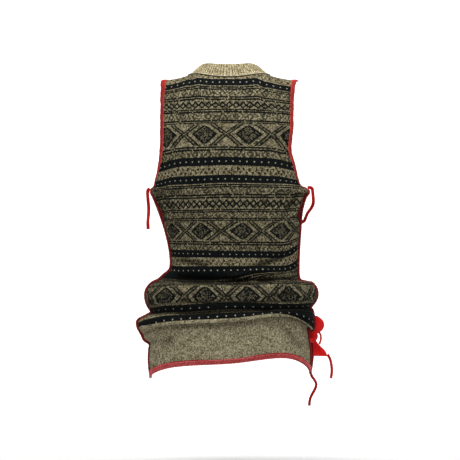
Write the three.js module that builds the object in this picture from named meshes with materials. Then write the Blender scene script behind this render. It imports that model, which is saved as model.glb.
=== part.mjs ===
// A fair isle sweater vest, worn: a back and a front cut from patterned knit and overlocked in red,
// open at both sides and tied there, with a ribbed neckband and a plain marl welt below each.
// Millimetres, +Z up. The back faces -Y, the front faces +Y, and the origin is at the base of the neck,
// level with the neckband's back seam, where the wearer's shoulders carry the vest.

import * as THREE from 'three';

// Wall thicknesses and the joins between pieces
const panelWall = 2.4;
const weltWall = 2.8;
const edgingWall = 4.6;
const edgingWidth = 11;
const ribbonWall = 1.4;
const seamGap = 0.3;

// The neck opening and the ribbed band that finishes it
const neck = { centre: -2, half: 84, pointRise: 4, pointBack: 9 };
const neckband = {
  width: 27.5,
  base: 2.2,
  ribs: 84,
  ribRise: 1.1,
  sideLean: 0.73,
  backLean: 0.3,
  frontLean: 0.42,
};

// Shoulder seams run from the neck points to these corners. The front's ridge is how far its yoke
// fills out just below them. neckShare is the part of the panel's width that the neck takes at the top.
const shoulder = { left: -150, right: 149, height: -8, ridge: 3.5 };
const neckShare = 7 / 13;
const yokeSteps = 7;
const ridgeRun = { across: 1 / 6, down: 0.4 };

// Sections of the worn half shells, from the foot of the yoke down. left and right are the cut edges,
// deep is the distance of the middle from the plane of the shoulder seams, edge that of the cut edges,
// and wrap is how much of a quarter turn each side covers.
const backSections = [
  { z: -80, left: -151, right: 138, deep: 98, edge: 40, wrap: 0.62 },
  { z: -120, left: -151, right: 137, deep: 104, edge: 50, wrap: 0.62 },
  { z: -160, left: -152, right: 133, deep: 107, edge: 50, wrap: 0.64 },
  { z: -200, left: -157, right: 143, deep: 108, edge: 38, wrap: 0.74 },
  { z: -226, left: -163, right: 149, deep: 107, edge: 24, wrap: 0.85 },
  { z: -240, left: -166, right: 156, deep: 106, edge: 14, wrap: 0.92 },
  { z: -251, left: -173, right: 173, deep: 105, edge: 12, wrap: 0.96 },
  { z: -263, left: -167, right: 165, deep: 103, edge: 12, wrap: 1 },
  { z: -296, left: -154, right: 156, deep: 98, edge: 13, wrap: 1 },
  { z: -335, left: -141, right: 153, deep: 91, edge: 14, wrap: 1 },
  { z: -380, left: -131, right: 150, deep: 85, edge: 15, wrap: 1 },
  { z: -418, left: -130, right: 149, deep: 86, edge: 15, wrap: 1 },
  { z: -440, left: -138, right: 150, deep: 90, edge: 14, wrap: 1 },
  { z: -470, left: -150, right: 154, deep: 97, edge: 13, wrap: 1 },
  { z: -500, left: -158, right: 160, deep: 104, edge: 12, wrap: 1 },
  { z: -550, left: -168, right: 167, deep: 112, edge: 12, wrap: 1 },
  { z: -600, left: -174, right: 173, deep: 114, edge: 12, wrap: 1 },
  { z: -660, left: -176, right: 177, deep: 111, edge: 12, wrap: 1 },
];
const frontSections = [
  { z: -110, left: -148, right: 135, deep: 92, edge: 44, wrap: 0.62 },
  { z: -150, left: -149, right: 131, deep: 101, edge: 48, wrap: 0.64 },
  { z: -200, left: -153, right: 140, deep: 106, edge: 36, wrap: 0.74 },
  { z: -226, left: -159, right: 146, deep: 105, edge: 24, wrap: 0.85 },
  { z: -240, left: -162, right: 153, deep: 103, edge: 14, wrap: 0.92 },
  { z: -251, left: -169, right: 169, deep: 101, edge: 12, wrap: 0.96 },
  { z: -263, left: -163, right: 161, deep: 99, edge: 13, wrap: 1 },
  { z: -296, left: -150, right: 152, deep: 94, edge: 15, wrap: 1 },
  { z: -335, left: -137, right: 149, deep: 88, edge: 18, wrap: 1 },
  { z: -380, left: -127, right: 146, deep: 84, edge: 20, wrap: 1 },
  { z: -418, left: -127, right: 145, deep: 86, edge: 20, wrap: 1 },
  { z: -440, left: -135, right: 147, deep: 90, edge: 18, wrap: 1 },
  { z: -470, left: -147, right: 154, deep: 96, edge: 15, wrap: 1 },
  { z: -500, left: -156, right: 162, deep: 101, edge: 14, wrap: 1 },
  { z: -550, left: -168, right: 170, deep: 104, edge: 13, wrap: 1 },
  { z: -600, left: -174, right: 180, deep: 101, edge: 13, wrap: 1 },
  { z: -660, left: -174, right: 177, deep: 97, edge: 13, wrap: 1 },
];

// Rows of the cloth below the yoke. z and out are given at five places across, from the left cut edge
// to the right one: the height of the row there, and how far it stands off the section.
const even = (z) => ({ z: [z, z, z, z, z], out: [0, 0, 0, 0, 0] });
const backRows = [
  ...[-80, -120, -160, -200, -226, -240, -251, -263, -296, -335, -380].map(even),
  { row: 'waist', z: [-419, -417, -415, -415, -417], out: [0, 0, 0, 0, 0] },
  { row: 'valley top', z: [-434, -434, -436, -434, -432], out: [10, 0, -2, -2, 0] },
  { row: 'valley foot', z: [-444, -447, -452, -448, -445], out: [17, 0, -3, -2, 3] },
  { row: 'roll throat', z: [-449, -447, -447, -447, -450], out: [25, 11, 10, 11, 18] },
  { row: 'roll brow', z: [-456, -446, -442, -445, -453], out: [31, 21, 21, 22, 29] },
  { row: 'roll crest', z: [-468, -459, -457, -460, -466], out: [34, 28, 28, 30, 36] },
  { row: 'roll face', z: [-482, -477, -477, -477, -481], out: [31, 27, 28, 29, 34] },
  { row: 'roll low', z: [-497, -492, -492, -490, -493], out: [24, 20, 21, 21, 26] },
  { row: 'roll foot', z: [-508, -504, -502, -499, -501], out: [15, 13, 14, 14, 18] },
  { row: 'notch', z: [-516, -512, -508, -504, -506], out: [10, 10, 11, 12, 15] },
  { row: 'fold top', z: [-523, -517, -512, -507, -512], out: [20, 14, 15, 16, 18] },
  { row: 'fold crest', z: [-534, -524, -517, -510, -526], out: [37, 18, 18, 19, 19] },
  { row: 'fold face', z: [-549, -530, -522, -513, -547], out: [34, 18, 18, 20, 18] },
];
const backWeltRows = [
  { row: 'lip', z: [-556, -536, -529, -519, -556], out: [29, 16, 16, 17, 15] },
  { row: 'lip underside', z: [-560, -534, -527, -517, -557], out: [27, 10.5, 10.5, 11, 9.5] },
  { row: 'tuck', z: [-564, -527, -520, -510, -551], out: [24, 7, 7, 7.5, 6] },
  { row: 'welt top', z: [-569, -531, -524, -514, -555], out: [21, 2, 2, 2.5, 1] },
  { row: 'welt shoulder', z: [-577, -543, -537, -527, -565], out: [16, 2, 2, 2.5, 1] },
  { row: 'side notch', z: [-586, -564, -559, -552, -581], out: [2, 2, 2, 2, 1] },
  { row: 'welt middle', z: [-601, -585, -579, -574, -601], out: [2, 2, 2, 2, 2] },
  { row: 'welt low', z: [-628, -607, -599, -592, -625], out: [1, 1, 1, 1, 1] },
  { row: 'hem', z: [-659, -630, -620, -611, -651], out: [-3, 0, 0, 0, -1] },
];
const frontRows = [
  ...[-110, -150, -200, -226, -240, -251, -263, -296, -335, -380].map(even),
  { row: 'waist', z: [-417, -417, -416, -417, -417], out: [0, 0, 0, 0, 0] },
  { row: 'valley top', z: [-432, -436, -436, -434, -432], out: [6, -1, -1, -1, 2] },
  { row: 'valley foot', z: [-446, -449, -448, -447, -446], out: [12, 4, 2, 4, 6] },
  { row: 'roll brow', z: [-458, -454, -452, -453, -458], out: [20, 14, 12, 14, 16] },
  { row: 'roll crest', z: [-472, -468, -466, -468, -472], out: [22, 18, 16, 18, 19] },
  { row: 'roll face', z: [-492, -488, -486, -488, -490], out: [16, 14, 14, 15, 15] },
  { row: 'notch', z: [-509, -507, -504, -505, -507], out: [7, 7, 7, 8, 8] },
  { row: 'fold crest', z: [-526, -521, -517, -519, -522], out: [13, 12, 11, 12, 12] },
  { row: 'fold face', z: [-541, -535, -530, -533, -538], out: [12, 11, 11, 12, 11] },
  { row: 'lip', z: [-553, -546, -540, -544, -550], out: [8, 7, 7, 8, 7] },
];
const frontWeltRows = [
  { row: 'welt seam', z: [-554, -547, -541, -545, -551], out: [4, 3, 3, 3, 3] },
  { row: 'welt shoulder', z: [-570, -563, -557, -561, -567], out: [3, 2, 2, 2, 3] },
  { row: 'welt middle', z: [-600, -586, -580, -580, -598], out: [2, 2, 1, 2, 3] },
  { row: 'hem', z: [-650, -614, -605, -602, -648], out: [0, 0, 0, 0, 0] },
];

// facing is -1 for the back and 1 for the front. The neck is cut out of the yoke down to neckCut of its
// fall, in a curve of the power neckCurve, and neckSwell is how far the yoke would rise to the middle.
// columns and longestStep set how fine the mesh is, across and down.
const back = {
  facing: -1,
  sections: backSections,
  rows: [...backRows, ...backWeltRows],
  weltRow: backRows.length,
  neckCut: 0.405,
  neckCurve: 2.3,
  neckSwell: 12,
  ridge: 0,
  columns: { shoulder: 6, neck: 14 },
  longestStep: 17,
};
const front = {
  facing: 1,
  sections: frontSections,
  rows: [...frontRows, ...frontWeltRows],
  weltRow: frontRows.length,
  neckCut: 0.72,
  neckCurve: 2,
  neckSwell: 0,
  ridge: shoulder.ridge,
  columns: { shoulder: 5, neck: 12 },
  longestStep: 24,
};

// Colours, roughness and metalness
const finishes = {
  patternedKnit: new THREE.MeshStandardMaterial({ color: 0x57503f, roughness: 0.95, metalness: 0 }),
  marlRib: new THREE.MeshStandardMaterial({ color: 0x9a8a6e, roughness: 0.95, metalness: 0 }),
  redEdging: new THREE.MeshStandardMaterial({ color: 0xb5271f, roughness: 0.8, metalness: 0 }),
  redRibbon: new THREE.MeshStandardMaterial({ color: 0xe0211c, roughness: 0.7, metalness: 0 }),
};

const vest = new THREE.Group();

function addPiece(name, geometry, finish) {
  const piece = new THREE.Mesh(geometry, finish);
  piece.name = name;
  vest.add(piece);
}

// ---- Interpolation

const mix = (a, b, t) => a + (b - a) * t;

// A smooth curve through four neighbours, between the middle two
function smoothBetween(before, a, b, after, t) {
  const slopeA = (b - before) / 2;
  const slopeB = (after - a) / 2;
  const t2 = t * t;
  const t3 = t2 * t;
  return (2 * t3 - 3 * t2 + 1) * a + (t3 - 2 * t2 + t) * slopeA
    + (3 * t2 - 2 * t3) * b + (t3 - t2) * slopeB;
}

// A value from an even list, at a fractional place; past each end the list goes on straight
function smoothFromList(values, place) {
  const last = values.length - 1;
  const i = Math.min(Math.max(Math.floor(place), 0), last - 1);
  const at = (k) => {
    if (k < 0) return 2 * values[0] - values[1];
    if (k > last) return 2 * values[last] - values[last - 1];
    return values[k];
  };
  return smoothBetween(at(i - 1), at(i), at(i + 1), at(i + 2), place - i);
}

// One column of a section table at a height, with slopes that suit its uneven steps
function smoothFromSections(sections, column, z) {
  const last = sections.length - 1;
  let i = 0;
  while (i < last - 1 && sections[i + 1].z > z) i += 1;
  const upper = sections[i];
  const lower = sections[i + 1];
  const step = lower.z - upper.z;
  const slope = (p, q) => (q[column] - p[column]) / (q.z - p.z) * step;
  const slopeUpper = i > 0 ? slope(sections[i - 1], lower) : slope(upper, lower);
  const slopeLower = i + 2 <= last ? slope(upper, sections[i + 2]) : slope(upper, lower);
  const t = Math.min(Math.max((z - upper.z) / step, 0), 1);
  const t2 = t * t;
  const t3 = t2 * t;
  return (2 * t3 - 3 * t2 + 1) * upper[column] + (t3 - 2 * t2 + t) * slopeUpper
    + (3 * t2 - 2 * t3) * lower[column] + (t3 - t2) * slopeLower;
}

// ---- The worn cloth as a surface: across runs from -1 at the left cut edge to 1 at the right one,
// ---- and down runs from 0 at the neck and shoulders to 1 at the foot of the yoke, then a row at a time.

function sectionPoint(half, across, z) {
  const read = (column) => smoothFromSections(half.sections, column, z);
  const turn = read('wrap') * Math.PI / 2;
  const angle = across * turn;
  const left = read('left');
  const right = read('right');
  const edge = read('edge');
  const round = Math.max(0, Math.cos(angle) - Math.cos(turn)) / (1 - Math.cos(turn));
  const fullness = 1.3 - 0.5 * turn / (Math.PI / 2);
  return new THREE.Vector3(
    (left + right) / 2 + (right - left) / 2 * Math.sin(angle) / Math.sin(turn),
    half.facing * (edge + (read('deep') - edge) * round ** fullness),
    z,
  );
}

// The crown of the yoke: both shoulder seams, and between them the rise that the neck is cut out of
function yokeCrown(half, across) {
  const share = Math.abs(across) / neckShare;
  const back = half.facing < 0 ? -neck.pointBack : seamGap - neck.pointBack;
  if (share <= 1) {
    const rise = neck.pointRise + half.neckSwell * (1 - share * share);
    return new THREE.Vector3(neck.centre + neck.half * across / neckShare, back, rise);
  }
  const along = (Math.abs(across) - neckShare) / (1 - neckShare);
  const corner = across < 0 ? shoulder.left : shoulder.right;
  return new THREE.Vector3(
    mix(neck.centre + Math.sign(across) * neck.half, corner, along),
    back,
    mix(shoulder.height, neck.pointRise, (1 - along) ** 2),
  );
}

// From the crown the yoke falls as a quarter of an ellipse, and its top edge follows the neck's cut
function yokePoint(half, across, down) {
  const crown = yokeCrown(half, across);
  const foot = sectionPoint(half, across, half.sections[0].z);
  const share = Math.min(1, Math.abs(across) / neckShare);
  const cut = half.neckCut * (1 - share ** half.neckCurve);
  const turn = mix(cut, 1, down) * Math.PI / 2;
  const outward = Math.sin(turn);
  const pastNeck = Math.min(1, Math.max(0, Math.abs(across) - neckShare) / ridgeRun.across);
  const ridge = half.ridge * pastNeck * Math.sin(Math.min(1, down / ridgeRun.down) * Math.PI) ** 2;
  return new THREE.Vector3(
    mix(crown.x, foot.x, outward),
    mix(crown.y, foot.y, outward),
    mix(crown.z, foot.z, 1 - Math.cos(turn)) + ridge,
  );
}

function clothPoint(half, across, down) {
  if (down < 1) return yokePoint(half, across, down);
  const place = (across + 1) * 2;
  const rowPlace = down - 1;
  const read = (column) => smoothFromList(
    [0, 1, 2, 3, 4].map((i) => smoothFromList(half.rows.map((row) => row[column][i]), rowPlace)),
    place,
  );
  const z = read('z');
  const point = sectionPoint(half, across, z);
  const step = 0.01;
  const before = sectionPoint(half, Math.max(-1, across - step), z);
  const after = sectionPoint(half, Math.min(1, across + step), z);
  const outward = new THREE.Vector3(after.y - before.y, before.x - after.x, 0).normalize();
  return point.addScaledVector(outward, -half.facing * read('out'));
}

function clothNormal(half, across, down) {
  const step = 0.004;
  const lastRow = half.rows.length;
  const a = clothPoint(half, Math.max(-1, across - step), down);
  const b = clothPoint(half, Math.min(1, across + step), down);
  const c = clothPoint(half, across, Math.max(0, down - step));
  const d = clothPoint(half, across, Math.min(lastRow, down + step));
  return b.sub(a).cross(d.sub(c)).normalize().multiplyScalar(half.facing);
}

// How far to come in from a cut edge, in the units of across, for a width in millimetres
function insetAcross(half, side, down, width) {
  const edge = clothPoint(half, side, down);
  let inset = 0.05;
  for (let pass = 0; pass < 8; pass += 1) {
    inset *= width / clothPoint(half, side * (1 - inset), down).distanceTo(edge);
  }
  return inset;
}

// How far to come up from the hem, in rows, for a width in millimetres
function insetUp(half, across, width) {
  const hem = half.rows.length;
  const edge = clothPoint(half, across, hem);
  let inset = 0.2;
  for (let pass = 0; pass < 8; pass += 1) {
    inset *= width / clothPoint(half, across, hem - inset).distanceTo(edge);
  }
  return inset;
}

// ---- Closed walls from grids of surface points

// Each grid entry has a point, the outward normal there, and how far the outer and inner skins stand off.
function wallGeometry(grid, isRing = false) {
  const rows = grid.length;
  const columns = grid[0].length;
  const positions = [];
  for (const skin of [1, -1]) {
    for (const row of grid) {
      for (const { point, normal, outer, inner } of row) {
        const offset = skin > 0 ? outer : -inner;
        positions.push(...point.clone().addScaledVector(normal, offset).toArray());
      }
    }
  }
  const index = [];
  const at = (skin, j, i) => skin * rows * columns + j * columns + (i % columns);
  const quad = (a, b, c, d) => index.push(a, b, c, a, c, d);
  const spans = isRing ? columns : columns - 1;
  for (let i = 0; i < spans; i += 1) {
    for (let j = 0; j < rows - 1; j += 1) {
      quad(at(0, j, i), at(0, j + 1, i), at(0, j + 1, i + 1), at(0, j, i + 1));
      quad(at(1, j, i), at(1, j, i + 1), at(1, j + 1, i + 1), at(1, j + 1, i));
    }
    quad(at(0, 0, i), at(0, 0, i + 1), at(1, 0, i + 1), at(1, 0, i));
    quad(at(0, rows - 1, i), at(1, rows - 1, i), at(1, rows - 1, i + 1), at(0, rows - 1, i + 1));
  }
  if (!isRing) {
    const end = columns - 1;
    for (let j = 0; j < rows - 1; j += 1) {
      quad(at(0, j, 0), at(1, j, 0), at(1, j + 1, 0), at(0, j + 1, 0));
      quad(at(0, j, end), at(0, j + 1, end), at(1, j + 1, end), at(1, j, end));
    }
  }
  const geometry = new THREE.BufferGeometry();
  geometry.setAttribute('position', new THREE.Float32BufferAttribute(positions, 3));
  geometry.setIndex(signedVolume(positions, index) < 0 ? index.reverse() : index);
  geometry.computeVertexNormals();
  return geometry;
}

function signedVolume(positions, index) {
  const corner = (k) => new THREE.Vector3().fromArray(positions, index[k] * 3);
  let volume = 0;
  for (let k = 0; k < index.length; k += 3) {
    volume += corner(k).dot(corner(k + 1).cross(corner(k + 2))) / 6;
  }
  return volume;
}

const evenSteps = (from, to, count) => Array.from({ length: count + 1 }, (_, i) => mix(from, to, i / count));

function clothEntry(half, across, down, thickness) {
  return {
    point: clothPoint(half, across, down),
    normal: clothNormal(half, across, down),
    outer: thickness / 2,
    inner: thickness / 2,
  };
}

// The rows of a mesh between two places down: each row of the table, and as many between as keep
// the steps short
function rowPlaces(half, from, to) {
  const marks = [from, ...evenSteps(1, half.rows.length, half.rows.length - 1), to]
    .filter((mark) => mark >= from && mark <= to);
  const knots = [...new Set(marks)].sort((a, b) => a - b);
  const places = [from];
  for (let k = 1; k < knots.length; k += 1) {
    const length = clothPoint(half, 0, knots[k - 1]).distanceTo(clothPoint(half, 0, knots[k]));
    const count = Math.max(1, Math.ceil(length / half.longestStep));
    places.push(...evenSteps(knots[k - 1], knots[k], count).slice(1));
  }
  return places;
}

// ---- Panels, welts and edging

// The columns of a panel's mesh keep one on each neck point, so that the corners there stay sharp
function panelColumns(half, down) {
  const { columns } = half;
  const left = -1 + insetAcross(half, -1, down, edgingWidth + seamGap * 2);
  const right = 1 - insetAcross(half, 1, down, edgingWidth + seamGap * 2);
  return [
    ...evenSteps(left, -neckShare, columns.shoulder),
    ...evenSteps(-neckShare, neckShare, columns.neck).slice(1),
    ...evenSteps(neckShare, right, columns.shoulder).slice(1),
  ];
}

function addPanel(name, half) {
  const yoke = evenSteps(0, 1, yokeSteps);
  const below = rowPlaces(half, 1, half.weltRow).slice(1);
  const grid = [...yoke, ...below].map((down) => (
    panelColumns(half, down).map((across) => clothEntry(half, across, down, panelWall))
  ));
  addPiece(name, wallGeometry(grid), finishes.patternedKnit);
}

// A welt starts a seam's gap below its panel, and its lowest row stops short of the hem's edging
function addWelt(name, half) {
  const top = half.weltRow + seamRow(half);
  const low = half.rows.length;
  const places = rowPlaces(half, top, low - 1);
  const rows = [...places, ...evenSteps(low - 1, low, 3).slice(1)];
  const grid = rows.map((down, j) => (
    panelColumns(half, down).map((across) => {
      const lowest = low - insetUp(half, across, edgingWidth + seamGap);
      const place = down <= low - 1 ? down : mix(low - 1, lowest, down - (low - 1));
      return clothEntry(half, across, place, j === 0 ? panelWall : weltWall);
    })
  ));
  addPiece(name, wallGeometry(grid), finishes.marlRib);
}

// The seam's gap in rows, below the last row of a panel
function seamRow(half) {
  const step = 0.05;
  const length = clothPoint(half, 0, half.weltRow).distanceTo(clothPoint(half, 0, half.weltRow + step));
  return step * seamGap * 1.5 / length;
}

// Red overlocking down an armhole and a side, from the shoulder seam to the hem
function addSideEdging(name, half, side) {
  const places = [...evenSteps(0, 1, yokeSteps), ...rowPlaces(half, 1, half.rows.length).slice(1)];
  const grid = places.map((down) => {
    const inset = insetAcross(half, side, down, edgingWidth);
    const columns = side < 0 ? [-1, -1 + inset] : [1 - inset, 1];
    return columns.map((across) => clothEntry(half, across, down, edgingWall));
  });
  addPiece(name, wallGeometry(grid), finishes.redEdging);
}

// Red overlocking along a hem, between the two side edgings
function addHemEdging(name, half) {
  const hem = half.rows.length;
  const grid = [0, 1].map((foot) => (
    panelColumns(half, hem).map((across) => {
      const down = hem - (foot ? 0 : insetUp(half, across, edgingWidth));
      return clothEntry(half, across, down, edgingWall);
    })
  ));
  addPiece(name, wallGeometry(grid), finishes.redEdging);
}

// ---- The neckband: a ribbed ring that stands on the neck seam and leans in

function neckbandRing(place) {
  const isBack = Math.cos(place) >= 0;
  const share = Math.sin(place);
  const half = isBack ? back : front;
  const across = share * neckShare;
  const lean = isBack ? neckband.backLean : -neckband.frontLean;
  const x = -neckband.sideLean * share;
  const y = lean * Math.abs(Math.cos(place));
  const rise = new THREE.Vector3(x, y, Math.sqrt(1 - x * x - y * y));
  return { rise, ...neckSeam(half, across) };
}

// The band meets the panels' straight-sided top edges, so its seam follows the chords of their columns
function neckSeam(half, across) {
  const columns = half.columns.neck;
  const place = (across / neckShare + 1) / 2 * columns;
  const i = Math.min(Math.floor(place), columns - 1);
  const at = (k) => mix(-neckShare, neckShare, k / columns);
  return {
    seam: yokePoint(half, at(i), 0).lerp(yokePoint(half, at(i + 1), 0), place - i),
    seamNormal: clothNormal(half, at(i), 0).lerp(clothNormal(half, at(i + 1), 0), place - i),
  };
}

function addNeckband() {
  const perRib = 2;
  const count = neckband.ribs * perRib;
  const step = Math.PI * 2 / count;
  const heights = [seamGap * 1.6, neckband.width * 0.5, neckband.width];
  const grid = heights.map((height, j) => (
    Array.from({ length: count }, (_, i) => {
      const place = i * step;
      const ring = neckbandRing(place);
      const before = neckbandRing(place - step).seam;
      const after = neckbandRing(place + step).seam;
      const ownNormal = after.sub(before).cross(ring.rise).normalize();
      const onRib = i % perRib === 0;
      return {
        point: ring.seam.clone().addScaledVector(ring.rise, height),
        normal: j === 0 ? ring.seamNormal : ownNormal,
        outer: neckband.base / 2 + (onRib ? neckband.ribRise : 0),
        inner: neckband.base / 2,
      };
    })
  ));
  addPiece('neckband_rib', wallGeometry(grid, true), finishes.marlRib);
}

// ---- Ties: a knot in each side opening, and the ribbon's free ends

// The cut edge of a half at a height, found by halving
function edgePoint(half, side, z) {
  let upper = 1;
  let lower = half.rows.length;
  for (let pass = 0; pass < 24; pass += 1) {
    const middle = (upper + lower) / 2;
    if (clothPoint(half, side, middle).z > z) upper = middle;
    else lower = middle;
  }
  return clothPoint(half, side, lower);
}

// A knot reaches from the back's cut edge to the front's, across the side opening
function addKnot(name, { side, z, thick, tall }) {
  const backEdge = edgePoint(back, side, z);
  const frontEdge = edgePoint(front, side, z);
  const knot = new THREE.SphereGeometry(1, 12, 8);
  knot.scale(thick, (frontEdge.y - backEdge.y) / 2 - seamGap, tall);
  knot.rotateZ(Math.atan2(backEdge.x - frontEdge.x, frontEdge.y - backEdge.y));
  knot.translate((backEdge.x + frontEdge.x) / 2, (backEdge.y + frontEdge.y) / 2, z);
  addPiece(name, knot, finishes.redRibbon);
}

// A flat cord along a route of points: width across, and thickness
function addFlatCord(name, route, width, thickness, steps) {
  const path = new THREE.CatmullRomCurve3(route.map((p) => new THREE.Vector3(...p)), false, 'centripetal');
  const section = new THREE.Shape();
  const sides = 8;
  for (let k = 0; k < sides; k += 1) {
    const angle = (k + 0.5) / sides * Math.PI * 2;
    const x = Math.cos(angle) * width / 2;
    const y = Math.sin(angle) * thickness / 2;
    if (k === 0) section.moveTo(x, y);
    else section.lineTo(x, y);
  }
  section.closePath();
  const cord = new THREE.ExtrudeGeometry(section, { steps, extrudePath: path, bevelEnabled: false });
  addPiece(name, cord, finishes.redRibbon);
}

const tie = { width: 6, thickness: 3.2, stepLength: 7 };
const underarmLeft = [
  [-176.2, 0, -245], [-180, 0, -247], [-181.3, 0.3, -252], [-181, 0.8, -262], [-180, 1, -274],
  [-179, 0.6, -288], [-179.4, 0, -302], [-180.6, -0.5, -316], [-180.4, -0.5, -327], [-180, 0, -334],
];
const underarmRight = [
  [170.6, 0, -243], [176, 0, -242], [181, 0.3, -245], [182, 0.8, -252], [183, 1.4, -262], [183.6, 2, -272],
  [182, 2.5, -281], [177, 3, -290], [171, 3, -298], [167, 2.5, -307], [163.5, 2, -315], [157, 2, -319],
];
const hipCord = [
  [214.6, 3, -609.6], [217.4, 3, -613.6], [220.5, 3, -620], [222.6, 3, -629], [224, 3, -638], [224.2, 3, -648],
  [223.2, 3, -656], [222, 3, -662],
];
const hemTail = [
  [177.4, -12, -651.6], [180, -12, -657], [185, -11.5, -664], [188.6, -11, -671], [188.6, -10.5, -678],
  [185, -10, -687], [180, -9.5, -696], [176, -9, -705], [174.4, -9, -714], [174, -9, -721],
];

// ---- The hip bow: a wide ribbon's loop and its tail, each held by the knot

const bow = {
  knot: { side: 1, z: -572, thick: 8, tall: 8 },
  loop: { start: 178, reach: 29, height: -544, half: 19, nearY: -11, farY: 12, roundness: 0.9 },
  tail: {
    left: 183.2,
    y: 0.5,
    wave: 2.5,
    right: [
      { z: -566, x: 190 }, { z: -577, x: 188.5 }, { z: -588, x: 196 }, { z: -601, x: 209 }, { z: -613, x: 214.5 },
    ],
  },
  strand: [
    [199, 3, -565], [200.2, 2.4, -571], [199.6, 1.8, -578], [196.6, 1, -587],
  ],
};

// along runs out from the back's edge and round to the front's; across is the ribbon's width
function bowLoopPoint(along, across) {
  const { start, reach, height, half, nearY, farY, roundness } = bow.loop;
  const out = Math.sin(Math.min(1, Math.max(0, along)) * Math.PI);
  return new THREE.Vector3(
    start + reach * out * Math.sqrt(1 - (roundness * across) ** 2 * out),
    mix(nearY, farY, (1 - Math.cos(along * Math.PI)) / 2),
    height + across * half,
  );
}

// The tail hangs from the knot and widens to a straight cut end
function bowTailPoint(along, across) {
  const { left, y, wave, right } = bow.tail;
  const place = along * (right.length - 1);
  return new THREE.Vector3(
    mix(left, smoothFromList(right.map((row) => row.x), place), across),
    y + wave * along * Math.sin(across * Math.PI * 2),
    smoothFromList(right.map((row) => row.z), place),
  );
}

function surfaceEntry(surface, a, b, thickness) {
  const step = 0.01;
  const da = surface(a + step, b).sub(surface(a - step, b));
  const db = surface(a, b + step).sub(surface(a, b - step));
  return { point: surface(a, b), normal: da.cross(db).normalize(), outer: thickness / 2, inner: thickness / 2 };
}

function addRibbon(name, surface, alongSteps, acrossSteps) {
  const grid = alongSteps.map((a) => acrossSteps.map((b) => surfaceEntry(surface, a, b, ribbonWall)));
  addPiece(name, wallGeometry(grid), finishes.redRibbon);
}

// ---- The vest

addPanel('back_panel', back);
addPanel('front_panel', front);
addWelt('back_welt', back);
addWelt('front_welt', front);
addSideEdging('back_edging_left', back, -1);
addSideEdging('back_edging_right', back, 1);
addSideEdging('front_edging_left', front, -1);
addSideEdging('front_edging_right', front, 1);
addHemEdging('back_hem_edging', back);
addHemEdging('front_hem_edging', front);
addNeckband();
addKnot('underarm_knot_left', { side: -1, z: -247, thick: 6, tall: 5 });
addKnot('underarm_knot_right', { side: 1, z: -246, thick: 6, tall: 5 });
addKnot('hip_knot', bow.knot);
addFlatCord('underarm_tie_left', underarmLeft, tie.width, tie.thickness, 14);
addFlatCord('underarm_tie_right', underarmRight, tie.width, tie.thickness, 16);
addFlatCord('hip_cord', hipCord, tie.width - 1, tie.thickness, 8);
addFlatCord('hem_tail', hemTail, tie.width - 1, tie.thickness, 12);
addFlatCord('hip_bow_strand', bow.strand, 4, 1.6, 5);
addRibbon('hip_bow_loop', bowLoopPoint, evenSteps(0, 1, 12), evenSteps(-1, 1, 4));
addRibbon('hip_bow_tail', bowTailPoint, evenSteps(0, 1, 8), evenSteps(0, 1, 5));

export default vest;
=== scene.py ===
import math
import random
import bpy
import numpy as np
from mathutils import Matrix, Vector


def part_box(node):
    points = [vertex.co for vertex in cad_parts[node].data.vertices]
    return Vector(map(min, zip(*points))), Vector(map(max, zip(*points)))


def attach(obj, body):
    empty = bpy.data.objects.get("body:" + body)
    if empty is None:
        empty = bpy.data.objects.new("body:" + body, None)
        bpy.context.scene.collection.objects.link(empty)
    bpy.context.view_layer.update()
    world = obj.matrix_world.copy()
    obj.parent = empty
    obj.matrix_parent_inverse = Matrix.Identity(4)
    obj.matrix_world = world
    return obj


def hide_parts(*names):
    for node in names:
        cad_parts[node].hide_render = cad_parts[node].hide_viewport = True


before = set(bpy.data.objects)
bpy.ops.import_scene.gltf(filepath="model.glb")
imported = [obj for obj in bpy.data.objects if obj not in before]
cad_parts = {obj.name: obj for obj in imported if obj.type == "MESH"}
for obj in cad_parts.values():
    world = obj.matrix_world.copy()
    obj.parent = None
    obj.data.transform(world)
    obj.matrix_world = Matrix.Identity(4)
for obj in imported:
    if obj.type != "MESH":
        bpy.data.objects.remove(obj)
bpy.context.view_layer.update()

random.seed(7)
mm = 0.001


# sums that the pieces share

def mix(a, b, t):
    return a + (b - a) * t


def eased(t):
    return t * t * (3 - 2 * t)


def unit(vectors):
    return vectors / np.linalg.norm(vectors, axis=-1, keepdims=True)


def lengthsAlong(points):
    # how far each point of a line, or of each row of a grid, lies from the first
    steps = np.linalg.norm(np.diff(points, axis=-2), axis=-1)
    return np.insert(np.cumsum(steps, axis=-1), 0, 0, axis=-1)


def spacedEvenly(step, line, *others):
    # a line of points taken again at even lengths, with what else belongs to its points
    length = lengthsAlong(line)
    even = np.linspace(0, length[-1], int(length[-1] / step) + 1)
    read = [[np.interp(even, length, column) for column in rows.T] for rows in (line, *others)]
    return [np.stack(columns, axis=-1) for columns in read]


def hermite(a, b, slopeA, slopeB, t):
    t2, t3 = t * t, t * t * t
    return (2 * t3 - 3 * t2 + 1) * a + (t3 - 2 * t2 + t) * slopeA + (3 * t2 - 2 * t3) * b + (t3 - t2) * slopeB


def smoothBetween(before, a, b, after, t):
    return hermite(a, b, (b - before) / 2, (after - a) / 2, t)


def withEnds(values):
    # past each end the values go on straight
    return np.concatenate([[2 * values[0] - values[1]], values, [2 * values[-1] - values[-2]]])


def gapAndShare(place, count):
    # which gap between values a place lies in, and how far along it
    gap = np.clip(np.floor(place).astype(int), 0, count - 2)
    return gap, place - gap


def smoothFromList(values, place):
    values = np.asarray(values, float)
    padded = withEnds(values)
    i, t = gapAndShare(place, len(values))
    if values.ndim > 1:
        t = t[..., None]
    return smoothBetween(*(padded[i + k] for k in range(4)), t)



# the camera, level and square to the back of the vest
view = {"distance": 3.2, "height": -0.3355, "across": 1.012}


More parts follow.
